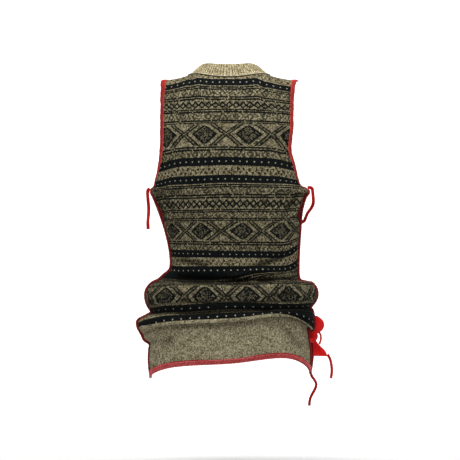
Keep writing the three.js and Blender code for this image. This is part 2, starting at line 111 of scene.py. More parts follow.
def addCamera():
    data = bpy.data.cameras.new("camera")
    data.sensor_fit = "HORIZONTAL"
    data.angle = 2 * math.atan(view["across"] / 2 / view["distance"])
    data.clip_end = 30
    camera = bpy.data.objects.new("camera", data)
    camera.location = (0, -view["distance"], view["height"])
    camera.rotation_euler = (math.radians(90), 0, 0)
    bpy.context.collection.objects.link(camera)
    bpy.context.scene.camera = camera


addCamera()
print("camera placed")


# the worn cloth, in millimetres: the same sizes and tables as the frame's own solids
panelWall, weltWall, edgingWall, ribbonWall = 2.4, 2.8, 4.6, 1.4
edgingWidth, seamGap = 11.0, 0.3
neck = {"centre": -2, "half": 84, "pointRise": 4, "pointBack": 9}
shoulder = {"left": -150, "right": 149, "height": -8}
neckShare = 7 / 13
ridgeRun = {"across": 1 / 6, "down": 0.4}

sectionColumns = ("z", "left", "right", "deep", "edge", "wrap")
backSections = [
    (-80, -151, 138, 98, 40, 0.62),
    (-120, -151, 137, 104, 50, 0.62),
    (-160, -152, 133, 107, 50, 0.64),
    (-200, -157, 143, 108, 38, 0.74),
    (-226, -163, 149, 107, 24, 0.85),
    (-240, -166, 156, 106, 14, 0.92),
    (-251, -173, 173, 105, 12, 0.96),
    (-263, -167, 165, 103, 12, 1),
    (-296, -154, 156, 98, 13, 1),
    (-335, -141, 153, 91, 14, 1),
    (-380, -131, 150, 85, 15, 1),
    (-418, -130, 149, 86, 15, 1),
    (-440, -138, 150, 90, 14, 1),
    (-470, -150, 154, 97, 13, 1),
    (-500, -158, 160, 104, 12, 1),
    (-550, -168, 167, 112, 12, 1),
    (-600, -174, 173, 114, 12, 1),
    (-660, -176, 177, 111, 12, 1),
]
frontSections = [
    (-110, -148, 135, 92, 44, 0.62),
    (-150, -149, 131, 101, 48, 0.64),
    (-200, -153, 140, 106, 36, 0.74),
    (-226, -159, 146, 105, 24, 0.85),
    (-240, -162, 153, 103, 14, 0.92),
    (-251, -169, 169, 101, 12, 0.96),
    (-263, -163, 161, 99, 13, 1),
    (-296, -150, 152, 94, 15, 1),
    (-335, -137, 149, 88, 18, 1),
    (-380, -127, 146, 84, 20, 1),
    (-418, -127, 145, 86, 20, 1),
    (-440, -135, 147, 90, 18, 1),
    (-470, -147, 154, 96, 15, 1),
    (-500, -156, 162, 101, 14, 1),
    (-550, -168, 170, 104, 13, 1),
    (-600, -174, 180, 101, 13, 1),
    (-660, -174, 177, 97, 13, 1),
]


stationCount = 5


def evenRows(*heights):
    return [("even", (z,) * stationCount, (0,) * stationCount) for z in heights]


# a row's name, its height and how far it stands off the section, at five places across
backRows = evenRows(-80, -120, -160, -200, -226, -240, -251, -263, -296, -335, -380) + [
    ("waist", (-419, -417, -415, -415, -417), (0, 0, 0, 0, 0)),
    ("valley top", (-434, -434, -436, -434, -432), (10, 0, -2, -2, 0)),
    ("valley foot", (-444, -447, -452, -448, -445), (17, 0, -3, -2, 3)),
    ("roll throat", (-449, -447, -447, -447, -450), (25, 11, 10, 11, 18)),
    ("roll brow", (-456, -446, -442, -445, -453), (31, 21, 21, 22, 29)),
    ("roll crest", (-468, -459, -457, -460, -466), (34, 28, 28, 30, 36)),
    ("roll face", (-482, -477, -477, -477, -481), (31, 27, 28, 29, 34)),
    ("roll low", (-497, -492, -492, -490, -493), (24, 20, 21, 21, 26)),
    ("roll foot", (-508, -504, -502, -499, -501), (15, 13, 14, 14, 18)),
    ("notch", (-516, -512, -508, -504, -506), (10, 10, 11, 12, 15)),
    ("fold top", (-523, -517, -512, -507, -512), (20, 14, 15, 16, 18)),
    ("fold crest", (-534, -524, -517, -510, -526), (37, 18, 18, 19, 19)),
    ("fold face", (-549, -530, -522, -513, -547), (34, 18, 18, 20, 18)),
]
backWeltRows = [
    ("lip", (-556, -536, -529, -519, -556), (29, 16, 16, 17, 15)),
    ("lip underside", (-560, -534, -527, -517, -557), (27, 10.5, 10.5, 11, 9.5)),
    ("tuck", (-564, -527, -520, -510, -551), (24, 7, 7, 7.5, 6)),
    ("welt top", (-569, -531, -524, -514, -555), (21, 2, 2, 2.5, 1)),
    ("welt shoulder", (-577, -543, -537, -527, -565), (16, 2, 2, 2.5, 1)),
    ("side notch", (-586, -564, -559, -552, -581), (2, 2, 2, 2, 1)),
    ("welt middle", (-601, -585, -579, -574, -601), (2, 2, 2, 2, 2)),
    ("welt low", (-628, -607, -599, -592, -625), (1, 1, 1, 1, 1)),
    ("hem", (-659, -630, -620, -611, -651), (-3, 0, 0, 0, -1)),
]
frontRows = evenRows(-110, -150, -200, -226, -240, -251, -263, -296, -335, -380) + [
    ("waist", (-417, -417, -416, -417, -417), (0, 0, 0, 0, 0)),
    ("valley top", (-432, -436, -436, -434, -432), (6, -1, -1, -1, 2)),
    ("valley foot", (-446, -449, -448, -447, -446), (12, 4, 2, 4, 6)),
    ("roll brow", (-458, -454, -452, -453, -458), (20, 14, 12, 14, 16)),
    ("roll crest", (-472, -468, -466, -468, -472), (22, 18, 16, 18, 19)),
    ("roll face", (-492, -488, -486, -488, -490), (16, 14, 14, 15, 15)),
    ("notch", (-509, -507, -504, -505, -507), (7, 7, 7, 8, 8)),
    ("fold crest", (-526, -521, -517, -519, -522), (13, 12, 11, 12, 12)),
    ("fold face", (-541, -535, -530, -533, -538), (12, 11, 11, 12, 11)),
    ("lip", (-553, -546, -540, -544, -550), (8, 7, 7, 8, 7)),
]
frontWeltRows = [
    ("welt seam", (-554, -547, -541, -545, -551), (4, 3, 3, 3, 3)),
    ("welt shoulder", (-570, -563, -557, -561, -567), (3, 2, 2, 2, 3)),
    ("welt middle", (-600, -586, -580, -580, -598), (2, 2, 1, 2, 3)),
    ("hem", (-650, -614, -605, -602, -648), (0, 0, 0, 0, 0)),
]


class Half:
    def __init__(self, facing, sections, rows, weltRows, neckCut, neckCurve, neckSwell, ridge, neckColumns):
        self.facing = facing
        self.sections = {name: np.array([row[k] for row in sections], float)
                         for k, name in enumerate(sectionColumns)}
        self.rows = {"z": np.array([row[1] for row in rows + weltRows], float),
                     "out": np.array([row[2] for row in rows + weltRows], float)}
        self.weltRow, self.hemRow = len(rows), len(rows) + len(weltRows)
        self.neckCut, self.neckCurve, self.neckSwell = neckCut, neckCurve, neckSwell
        self.ridge, self.neckColumns = ridge, neckColumns


back = Half(-1, backSections, backRows, backWeltRows, 0.405, 2.3, 12, 0, 14)
front = Half(1, frontSections, frontRows, frontWeltRows, 0.72, 2, 0, 3.5, 12)


def smoothFromSections(sections, column, z):
    heights, values = sections["z"], sections[column]
    last = len(heights) - 1
    i = np.clip(np.searchsorted(-heights[1:], -z), 0, last - 1)
    before, after = np.maximum(i - 1, 0), np.minimum(i + 2, last)
    step = heights[i + 1] - heights[i]
    slopeA = (values[i + 1] - values[before]) / (heights[i + 1] - heights[before]) * step
    slopeB = (values[after] - values[i]) / (heights[after] - heights[i]) * step
    return hermite(values[i], values[i + 1], slopeA, slopeB, np.clip((z - heights[i]) / step, 0, 1))


def sectionPoint(half, across, z):
    left, right, deep, edge, wrap = (smoothFromSections(half.sections, name, z) for name in sectionColumns[1:])
    turn = wrap * math.pi / 2
    angle = across * turn
    bulge = np.maximum(0, np.cos(angle) - np.cos(turn)) / (1 - np.cos(turn))
    fullness = 1.3 - 0.5 * wrap
    x = (left + right) / 2 + (right - left) / 2 * np.sin(angle) / np.sin(turn)
    y = half.facing * (edge + (deep - edge) * bulge ** fullness)
    return np.stack(np.broadcast_arrays(x, y, z), axis=-1).astype(float)


def yokePoint(half, across, down):
    share = np.abs(across) / neckShare
    crownY = -neck["pointBack"] + (seamGap if half.facing > 0 else 0)
    along = np.maximum(0, np.abs(across) - neckShare) / (1 - neckShare)
    corner = np.where(across < 0, shoulder["left"], shoulder["right"])
    onNeck = share <= 1
    crownX = np.where(onNeck, neck["centre"] + neck["half"] * across / neckShare,
                      mix(neck["centre"] + np.sign(across) * neck["half"], corner, along))
    crownZ = np.where(onNeck, neck["pointRise"] + half.neckSwell * (1 - share ** 2),
                      mix(shoulder["height"], neck["pointRise"], (1 - along) ** 2))
    foot = sectionPoint(half, across, np.full_like(across, half.sections["z"][0]))
    cut = half.neckCut * (1 - np.minimum(1, share) ** half.neckCurve)
    turn = mix(cut, 1, down) * math.pi / 2
    outward = np.sin(turn)
    pastNeck = np.clip((np.abs(across) - neckShare) / ridgeRun["across"], 0, 1)
    ridge = half.ridge * pastNeck * np.sin(np.minimum(1, down / ridgeRun["down"]) * math.pi) ** 2
    return np.stack([mix(crownX, foot[..., 0], outward), mix(crownY, foot[..., 1], outward),
                     mix(crownZ, foot[..., 2], 1 - np.cos(turn)) + ridge], axis=-1)


def foldedPoint(half, across, down):
    i, t = gapAndShare((across + 1) * 2, stationCount)
    stations = {}
    for column in ("z", "out"):
        padded = withEnds(np.moveaxis(smoothFromList(half.rows[column], down - 1), -1, 0))
        four = (np.take_along_axis(padded, (i + k)[None], 0)[0] for k in range(4))
        stations[column] = smoothBetween(*four, t)
    z = stations["z"]
    point = sectionPoint(half, across, z)
    step = 0.01
    before = sectionPoint(half, np.maximum(-1, across - step), z)
    after = sectionPoint(half, np.minimum(1, across + step), z)
    along = after - before
    outward = np.stack([along[..., 1], -along[..., 0], np.zeros_like(z)], axis=-1)
    return point - half.facing * unit(outward) * stations["out"][..., None]


def clothPoint(half, across, down):
    across, down = np.broadcast_arrays(np.asarray(across, float), np.asarray(down, float))
    onYoke = (down < 1)[..., None]
    return np.where(onYoke, yokePoint(half, across, np.minimum(down, 1)),
                    foldedPoint(half, across, np.maximum(down, 1)))


# how the knitting lies on the cloth, in millimetres: the length down the middle of the back at chosen
# rows of the chart, and how far the rows sag at five places across
chartRows = {
    "length": (-30, -11.5, 0, 10.6, 30.0, 76.1, 86.8, 113.9, 138, 167.5, 187.2, 205.2, 225.2, 242.6, 267.2,
               275.8, 300.6, 325.7, 348.5, 371.3, 391.6, 406.3, 423.7, 440.3, 486, 496, 503, 510, 527.8,
               539.3, 541.6, 557.6, 565.6, 581),
    "row": (-61.2, -53.9, -58.7, -53.5, -46.5, -29, -23, -13.5, 0, 13.5, 20.5, 27.5, 35.5, 42.5, 52.5,
            55.5, 64.5, 76.5, 89, 101.5, 109.5, 116.5, 124.5, 131.5, 155, 162, 166, 170, 178, 182.9, 198.5,
            205.5, 213.5, 219.7),
}
rowSag = {
    "length": (0, 45, 68, 88, 130, 170, 205, 235, 252, 270, 290, 348, 392, 425, 440, 458, 470, 486, 530,
               550, 575, 600),
    "sag": (
        (18, 10, 0, 10, 10), (8, 6, 0, 6, 5), (2, 3, 0, 3, 3), (0, 1, 0, 1, 2), (2, 0, 0, 0, 2),
        (7, 1, 0, 1, 7), (13, 2, 0, 2, 11), (14, 3, 0, 2, 10), (12, 4, 0, 1, 2), (9, 3, 0, 0, -6),
        (5, 2, 0, 0, -9), (0, 0, 0, 0, -6), (-3, -2, 0, 1, -22), (-3, -1, 0, 0, -18), (1, 2, 1, -2, -14),
        # from about 440 to 486 the rows at the left and middle sag steeply, so the black band's last rows
        # stretch down over the valley: partly the band, partly painted shade
        (19, 20, 15, -9, -13), (16, 17, 12, -13, -14), (0, 0, 0, -7, -8), (0, 0, 0, 0, 0),
        (12, 6, 0, 6, 3), (11, 2, 0, 4, 5), (8, 2, 0, 2, 8),
    ),
}
# by the ends of the neckline the first rows drop to run along the shoulders
yokeDrop = {"left": 16, "right": 26, "start": 0.36, "stop": 0.54, "fade": 70}
# where the chart's middle lies, and the width of a stitch near the middle and out at each side
gauge = {
    "length": (0, 190, 250, 348, 440, 530, 600),
    "middle": (-9, -9, -12, -20, -13, -9, -9),
    "centre": (2.46, 2.46, 2.44, 2.38, 2.38, 2.35, 2.4),
    "left": (2.4, 2.4, 2.2, 1.75, 2.0, 2.45, 2.5),
    "right": (2.75, 2.75, 2.6, 2.2, 2.2, 2.45, 2.5),
}
rowHeight, marlStitch = 2.39, 2.5
diamondHalf = 19


# the front's chart: its rows at the neck and at the ends of the shoulders, and where the yoke ends
frontChart = {"neck": -31, "shoulder": -55.5, "foot": -10}


def lengthDown(half):
    places = np.linspace(0, half.hemRow, half.hemRow * 40 + 1)
    return places, lengthsAlong(clothPoint(half, np.zeros_like(places), places))


def lengthAt(half, down):
    return np.interp(down, *half.middleLength)


def knitRow(half, across, down):
    length = lengthAt(half, down)
    if half is front:
        # over the shoulders a black band comes up to the seam; below the armholes' tops the rows are even
        shares = np.clip(np.abs(across) / neckShare, 0, 1)
        start = mix(frontChart["neck"], frontChart["shoulder"], shares ** 2)
        below = frontChart["foot"] + (length - lengthAt(half, 1)) / rowHeight
        return np.where(down < 1, mix(start, frontChart["foot"], down), below)
    sags = np.stack([np.interp(length, rowSag["length"], column) for column in zip(*rowSag["sag"])], axis=-1)
    i, t = gapAndShare((across + 1) * 2, stationCount)
    left, right = (np.take_along_axis(sags, i[..., None] + k, -1)[..., 0] for k in (0, 1))
    beside = np.clip((np.abs(across) - yokeDrop["start"]) / (yokeDrop["stop"] - yokeDrop["start"]), 0, 1)
    drop = eased(beside) * np.clip(1.3 - length / yokeDrop["fade"], 0, 1)
    sag = mix(left, right, eased(t)) + drop * np.where(across < 0, yokeDrop["left"], yokeDrop["right"])
    return np.interp(length - sag, chartRows["length"], chartRows["row"])


def knitColumn(half, points, down):
    # stitches out from the chart's middle, from the lengths along each row of points
    length, along = lengthAt(half, down), lengthsAlong(points)
    columns = np.empty_like(along)
    for j in range(len(points)):
        read = {name: np.interp(length[j], gauge["length"], gauge[name]) for name in gauge}
        out = along[j] - np.interp(read["middle"], points[j, :, 0], along[j])
        core = diamondHalf * read["centre"]
        side = np.where(out < 0, read["left"], read["right"])
        columns[j] = np.sign(out) * (np.minimum(np.abs(out), core) / read["centre"]
                                     + np.maximum(0, np.abs(out) - core) / side)
    return columns


# creases over the solids' own folds: a soft trough or ridge between two places on the cloth,
# (x, z) to (x, z), with its width and its rise off the cloth
backCreases = (
    ("left tie, along the side", (-160, -250), (-140, -322), 7, -6),
    ("left tie, inner", (-150, -252), (-118, -300), 6, -4),
    ("left tie, ridge", (-157, -256), (-128, -318), 6, 3),
    ("left tie, across", (-160, -244), (-95, -262), 7, -3),
    ("right tie, along the side", (168, -252), (146, -320), 7, -6),
    ("right tie, ridge", (160, -254), (134, -318), 6, 3.4),
    ("right tie, inner", (152, -250), (120, -300), 6, -4.4),
    ("right tie, across", (158, -246), (92, -258), 7, -3),
    ("small of the back, left", (-118, -398), (-40, -414), 8, -2.8),
    ("small of the back, right", (40, -420), (128, -388), 9, -3.4),
    ("valley, left", (-120, -438), (-20, -444), 9, -8),
    ("valley, middle", (-30, -443), (50, -446), 8, -7),
    ("valley ridge, right", (-6, -437), (84, -418), 5, 6),
    ("valley furrow, right", (40, -449), (118, -436), 6, -5),
    ("valley under the ridge", (30, -432), (70, -424), 4, -3.5),
    ("valley top ridge, far right", (84, -441), (138, -432), 6, 3.5),
    ("roll dent, right", (96, -478), (142, -470), 8, -3.4),
    ("roll dent, right lower", (60, -470), (112, -486), 7, -2.4),
    ("roll tuck, right", (24, -476), (66, -466), 6, -2),
    ("roll tuck, left", (-150, -470), (-118, -486), 7, -2.2),
    ("roll ridge, left", (-132, -462), (-84, -466), 7, 1.6),
    ("roll's underside", (-120, -489), (118, -488), 3, -3.2),
    ("notch, left", (-118, -513), (-20, -509), 4, -4),
    ("notch, right", (-30, -508), (96, -504), 4, -2.4),
    ("welt fold, left", (-150, -590), (-118, -560), 9, -2),
    ("welt fold, right", (118, -548), (158, -590), 9, -2.2),
    ("welt sag, middle", (-70, -604), (60, -596), 16, 1.4),
)
frontCreases = (
    ("left tie, along the side", (-158, -252), (-132, -320), 7, -2.2),
    ("left tie, across", (-158, -246), (-92, -266), 7, -1.6),
    ("right tie, along the side", (160, -252), (140, -322), 7, -2.2),
    ("right tie, across", (158, -246), (84, -262), 7, -1.6),
    ("waist, left", (-118, -402), (-30, -418), 8, -1.8),
    ("waist, right", (26, -420), (122, -396), 8, -2),
    ("roll dent, left", (-128, -476), (-74, -482), 7, -2),
    ("roll dent, right", (60, -472), (124, -484), 7, -2.2),
    ("chest, left", (-60, -132), (-112, -205), 14, -1.6),
    ("chest, right", (50, -128), (104, -208), 14, -1.6),
    ("welt fold, left", (-150, -594), (-112, -566), 9, -1.8),
    ("welt fold, right", (112, -566), (150, -592), 9, -1.8),
)

# how the painted shade in folds and creases is reckoned
hollow = {"wide": 46, "narrow": 16, "gain": 4.2, "top": -300, "fade": 40, "crease": 5.5, "inCrease": 0.6}
edgeRoll = {"dip": 2.4, "reach": 22, "top": -238, "fade": 20, "out": 1.3}


def creaseRise(creases, points):
    rise = np.zeros(points.shape[:-1])
    for _, start, end, width, height in creases:
        a, b = np.array(start, float), np.array(end, float)
        spot = points[..., (0, 2)]
        along = np.clip(((spot - a) @ (b - a)) / ((b - a) @ (b - a)), 0, 1)
        away = np.linalg.norm(spot - a - along[..., None] * (b - a), axis=-1)
        # the crease rises and falls over the first and last quarters of its length
        rising, falling = (np.sin(np.clip(share * 4, 0, 1) * math.pi / 2) for share in (along, 1 - along))
        ends = rising * falling
        rise += height * ends * np.exp(-(away / width) ** 2)
    return rise


def sideDip(points):
    # below the armholes the cloth sinks beside its overlocked edges, which stand out and curl
    along = lengthsAlong(points)
    fromEdge = np.minimum(along, along[:, -1:] - along)
    return edgeRoll["dip"] * rolled(points[..., 2]) * np.clip(1 - fromEdge / edgeRoll["reach"], 0, 1) ** 2


def blurred(values, points, axis, reach):
    # a running mean over about the reach, in millimetres, along one way of the grid
    gaps = np.linalg.norm(np.diff(points, axis=axis), axis=-1)
    width = max(1, int(reach / max(0.5, float(np.median(gaps))) / 2))
    padding = [(width, width) if k == axis else (0, 0) for k in range(2)]
    sums = np.cumsum(np.pad(values, padding, mode="edge"), axis=axis)
    sums = np.insert(sums, 0, 0, axis=axis)
    size = values.shape[axis]
    upper = np.take(sums, np.arange(size) + 2 * width + 1, axis=axis)
    return (upper - np.take(sums, np.arange(size), axis=axis)) / (2 * width + 1)


def paintedFoldShade(half, points, rise):
    # painted shade: 0 on open cloth, toward 1 in the bottom of a fold, from how far it lies under the cloth
    # about it, and more in the creases
    out = points[..., 1] * half.facing
    sunk = np.zeros(out.shape)
    for reach in (hollow["wide"], hollow["narrow"]):
        mean = blurred(blurred(out, points, 0, reach), points, 0, reach)
        sunk += np.clip((mean - out) * hollow["gain"] / reach, 0, 1)
    below = np.clip((hollow["top"] - points[..., 2]) / hollow["fade"], 0, 1)
    return np.clip(sunk * below + np.clip(-rise / hollow["crease"], 0, hollow["inCrease"]), 0, 1)


def rolled(z):
    return np.clip((edgeRoll["top"] - z) / edgeRoll["fade"], 0, 1)


def gridNormals(points):
    normals = np.cross(np.gradient(points, axis=1), np.gradient(points, axis=0))
    return normals / np.maximum(1e-9, np.linalg.norm(normals, axis=-1, keepdims=True))


def insetTo(width, guess, shape, pointAt):
    # how far in from an edge, in the grid's own measure, a width lies
    edge, inset = pointAt(0), np.full(shape, guess)
    for _ in range(8):
        inset = inset * (width / np.linalg.norm(pointAt(inset) - edge, axis=-1))
    return inset


def insetAcross(half, side, down, width):
    return insetTo(width, 0.05, down.shape, lambda inset: clothPoint(half, side * (1 - inset), down))


def insetUp(half, across, width):
    return insetTo(width, 0.2, across.shape, lambda inset: clothPoint(half, across, half.hemRow - inset))


def columnPlaces(half, down, sideSteps, neckSteps):
    left = -1 + insetAcross(half, -1, down, edgingWidth + seamGap * 2)
    right = 1 - insetAcross(half, 1, down, edgingWidth + seamGap * 2)
    t = np.linspace(0, 1, sideSteps + 1)
    middle = np.linspace(-neckShare, neckShare, neckSteps + 1)
    return np.concatenate([
        left[:, None] + (-neckShare - left[:, None]) * t,
        np.broadcast_to(middle[1:], (len(down), neckSteps)),
        neckShare + (right[:, None] - neckShare) * t[1:],
    ], axis=1)


# meshes from grids of points

def newObject(name, mesh):
    item = bpy.data.objects.new(name, mesh)
    bpy.context.collection.objects.link(item)
    return item


def meshFrom(name, points, faces, uv=None):
    mesh = bpy.data.meshes.new(name)
    mesh.from_pydata((np.asarray(points) * mm).tolist(), [], faces)
    mesh.update()
    if uv is not None:
        layer = mesh.uv_layers.new(name="stitches")
        corners = np.empty(len(mesh.loops), dtype=np.int32)
        mesh.loops.foreach_get("vertex_index", corners)
        layer.data.foreach_set("uv", np.asarray(uv, dtype=np.float32).reshape(-1, 2)[corners].ravel())
    mesh.polygons.foreach_set("use_smooth", [True] * len(mesh.polygons))
    return mesh


def shellMesh(name, outer, inner, uv, ring=False):
    # a wall between two grids of points, closed along its rim; a ring's columns meet
    rows, columns = outer.shape[:2]
    points = np.concatenate([outer.reshape(-1, 3), inner.reshape(-1, 3)])
    at = np.arange(rows * columns).reshape(rows, columns)
    if ring:
        at = np.concatenate([at, at[:, :1]], axis=1)
    far = at + rows * columns
    quads = np.stack([at[:-1, :-1], at[1:, :-1], at[1:, 1:], at[:-1, 1:]], axis=-1).reshape(-1, 4)
    inside = (quads + rows * columns)[:, ::-1]
    top = np.stack([at[0, :-1], at[0, 1:], far[0, 1:], far[0, :-1]], axis=-1)
    foot = np.stack([at[-1, :-1], far[-1, :-1], far[-1, 1:], at[-1, 1:]], axis=-1)
    parts = [quads, inside, top, foot]
    if not ring:
        parts.append(np.stack([at[:-1, 0], far[:-1, 0], far[1:, 0], at[1:, 0]], axis=-1))
        parts.append(np.stack([at[:-1, -1], at[1:, -1], far[1:, -1], far[:-1, -1]], axis=-1))
    faces = np.concatenate(parts)
    return outward(meshFrom(name, points, faces.tolist(), np.concatenate([uv.reshape(-1, 2)] * 2)))


def wallMesh(name, points, normals, thickness, uv):
    return shellMesh(name, points + normals * thickness / 2, points - normals * thickness / 2, uv)


def ringFaces(rows, sides):
    corners = ((0, 0), (0, 1), (1, 1), (1, 0))
    return [[(j + down) * sides + (k + on) % sides for down, on in corners]
            for j in range(rows) for k in range(sides)]


def tubeMesh(name, rings, uv=None):
    # a tube through rings of points, closed at both ends
    count, sides = rings.shape[:2]
    faces = ringFaces(count - 1, sides)
    faces += [list(range(sides))[::-1], list(range((count - 1) * sides, count * sides))]
    return outward(meshFrom(name, rings.reshape(-1, 3), faces, uv))


def outward(mesh):
    if signedVolume(mesh) < 0:
        mesh.flip_normals()
    return mesh


def signedVolume(mesh):
    mesh.calc_loop_triangles()
    corners = np.empty(len(mesh.loop_triangles) * 3, dtype=np.int32)
    mesh.loop_triangles.foreach_get("vertices", corners)
    spots = np.empty(len(mesh.vertices) * 3)
    mesh.vertices.foreach_get("co", spots)
    a, b, c = spots.reshape(-1, 3)[corners].reshape(-1, 3, 3).transpose(1, 0, 2)
    return float(np.einsum("ij,ij->i", a, np.cross(b, c)).sum() / 6)


def finishPiece(item, material, slotName, *nodes):
    item.data.materials.clear()
    item.data.materials.append(material)
    if nodes:
        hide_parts(*nodes)
    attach(item, "root")
    return item


# materials

class Wire:
    # a socket that does sums: each operator adds a Math node
    def __init__(self, shader, socket):
        self.shader, self.socket = shader, socket

    def maths(self, operation, *others):
        return self.shader.node("ShaderNodeMath", {"operation": operation}, dict(enumerate((self, *others))))

    def __rsub__(self, other):
        return self.shader.node("ShaderNodeMath", {"operation": "SUBTRACT"}, {0: other, 1: self})

    def equals(self, value, slack=0.5):
        return self.maths("COMPARE", value, slack)

    def within(self, low, high):
        return (self > low) * (self < high)


wireSums = {
    "__add__": "ADD", "__radd__": "ADD", "__sub__": "SUBTRACT", "__mul__": "MULTIPLY", "__rmul__": "MULTIPLY",
    "__truediv__": "DIVIDE", "__lt__": "LESS_THAN", "__gt__": "GREATER_THAN", "__mod__": "FLOORED_MODULO",
    "__abs__": "ABSOLUTE", "floor": "FLOOR", "least": "MINIMUM", "most": "MAXIMUM", "power": "POWER",
    "sine": "SINE",
}
for wireName, operation in wireSums.items():
    setattr(Wire, wireName, lambda self, *others, operation=operation: self.maths(operation, *others))


class Shader:
    def __init__(self, name, roughness=0.9, sheen=0.0, sheenTint=(1, 1, 1, 1)):
        self.material = bpy.data.materials.new(name)
        self.material.use_nodes = True
        self.tree = self.material.node_tree
        self.surface = self.tree.nodes["Principled BSDF"]
        constants = {"Roughness": roughness, "Specular IOR Level": 0.06, "Sheen Weight": sheen,
                     "Sheen Roughness": 0.5, "Sheen Tint": sheenTint}
        for label, value in constants.items():
            self.surface.inputs[label].default_value = value

    def node(self, kind, settings=None, sockets=None, output=0):
        made = self.tree.nodes.new(kind)
        for key, value in (settings or {}).items():
            if key == "stops":
                ramp = made.color_ramp
                while len(ramp.elements) < len(value):
                    ramp.elements.new(1)
                for element, (place, colour) in zip(ramp.elements, value):
                    element.position, element.color = place, (*colour, 1)
            else:
                setattr(made, key, value)
        for key, value in (sockets or {}).items():
            if isinstance(value, Wire):
                self.tree.links.new(value.socket, made.inputs[key])
            else:
                made.inputs[key].default_value = value
        return Wire(self, made.outputs[output])

    def stitches(self):
        uv = self.node("ShaderNodeUVMap", {"uv_map": "stitches"})
        parts = self.tree.nodes.new("ShaderNodeSeparateXYZ")
        self.tree.links.new(uv.socket, parts.inputs[0])
        return Wire(self, parts.outputs[0]), Wire(self, parts.outputs[1])

    def spot(self, x, y, z=0.0):
        return self.node("ShaderNodeCombineXYZ", None, {0: x, 1: y, 2: z})

    def objectSpot(self):
        return self.node("ShaderNodeTexCoord", None, None, "Object")

    # the painted shade of folds and creases, kept on the knit's points
    def hollow(self):
        return self.node("ShaderNodeAttribute", {"attribute_name": "hollow"}, None, "Fac")

    def chance(self, x, y, seed=0.0):
        return self.node("ShaderNodeTexWhiteNoise", {"noise_dimensions": "3D"},
                         {"Vector": self.spot(x, y, seed)})

    def noise(self, vector, scale, detail=2.0, roughness=0.5):
        return self.node("ShaderNodeTexNoise", None,
                         {"Vector": vector, "Scale": scale, "Detail": detail, "Roughness": roughness})

    def ramp(self, value, *stops):
        return self.node("ShaderNodeValToRGB", {"stops": stops}, {0: value})

    def blend(self, amount, a, b, how="MIX"):
        settings = {"data_type": "RGBA", "blend_type": how}
        return self.node("ShaderNodeMix", settings, {0: amount, 6: a, 7: b}, 2)

    def darken(self, colour, by):
        return self.blend(1.0, colour, by, "MULTIPLY")

    def finish(self, colour, height, depth, strength):
        self.tree.links.new(colour.socket, self.surface.inputs["Base Color"])
        bump = self.node("ShaderNodeBump", None, {"Strength": strength, "Distance": depth, "Height": height})
        self.tree.links.new(bump.socket, self.surface.inputs["Normal"])
        return self.material


def shadesOf(places, shades, gains=(1, 1, 1)):
    # the stops of a ramp, each shade with its red, green and blue made stronger or weaker
    tinted = [tuple(part * gain for part, gain in zip(shade, gains)) for shade in shades]
    return list(zip(places, tinted))


yarns = {
    "black": (0.0035, 0.005, 0.0054),
    "blackLight": (0.014, 0.017, 0.0165),
    "cream": (0.56, 0.53, 0.42),
    "marl": ((0.0, (0.035, 0.029, 0.018)), (0.22, (0.13, 0.107, 0.062)), (0.45, (0.265, 0.232, 0.143)),
             (0.72, (0.465, 0.42, 0.27)), (1.0, (0.72, 0.67, 0.455))),
    "fleck": (0.045, 0.03, 0.017),
    # deep is no yarn: it is the colour of painted shade, blended in where folds and creases lie in shadow
    "deep": (0.004, 0.004, 0.0035),
}


def yarnBump(shader, across, row):
    # each stitch is two plump legs that lean together, with the yarn's own twist on them
    leg = abs(abs(across) - 0.25) * 4
    along = row % 1.0
    plump = (1 - leg * leg) * (1 - abs(along * 2 - 1).power(3.0) * 0.55)
    twist = ((along * 3 + leg * 0.8) * (2 * math.pi)).sine() * 0.07
    return plump + twist


def marlColour(shader, column, row, u, v):
    # two-ply marl: a shade for each leg of each stitch, streaked along the yarn, changing over the cloth
    each = shader.chance(column, row, 0.3)
    leg = shader.chance((u * 2).floor(), (v * 1.5).floor(), 0.9)
    streak = shader.noise(shader.spot(u * 2.6, v * 3.0), 1.6, 2.0, 0.6)
    slow = shader.noise(shader.spot(u * 0.05, v * 0.16), 1.0, 2.0)
    tone = each * 0.5 + leg * 0.5 + (streak - 0.5) * 0.6 + (slow - 0.5) * 0.3
    return shader.ramp(tone, *yarns["marl"])


# the chart, in stitches and rows; row 0 is the middle of the large diamonds
chart = {
    "rows": 89.0, "diamondStitches": 38.0, "diamondHigh": 12.5, "diamondWide": 11.8, "diamondTall": 10.9,
    "core": 0.8, "armWide": 3.1, "armHigh": 11.5, "armLight": 0.8,
    "chainStitches": 6.0, "chainMiddle": 60.5, "chainHigh": 3.7, "chainTall": 3.4, "chainLine": 0.28,
    "bandA": (20.5, 27.5), "flecked": (27.5, 35.5), "bandB": (35.5, 42.5), "dotRows": (24.0, 39.0),
    "narrowBands": ((15.5, 20.5, 16), (46.5, 52.5, 47), (67.5, 73.5, 68)), "smallStitches": 12.0,
    "lines": (13.5, 15.5, 44.5, 46.5, 53.5, 55.5, 65.5, 67.5, 74.5, 76.5), "lineHalf": 0.72,
    "darkGrounds": ((13.5, 20.5), (43.5, 77.5)), "lowerBands": 190.0, "light": (0.76, 0.75, 0.715, 1),
}


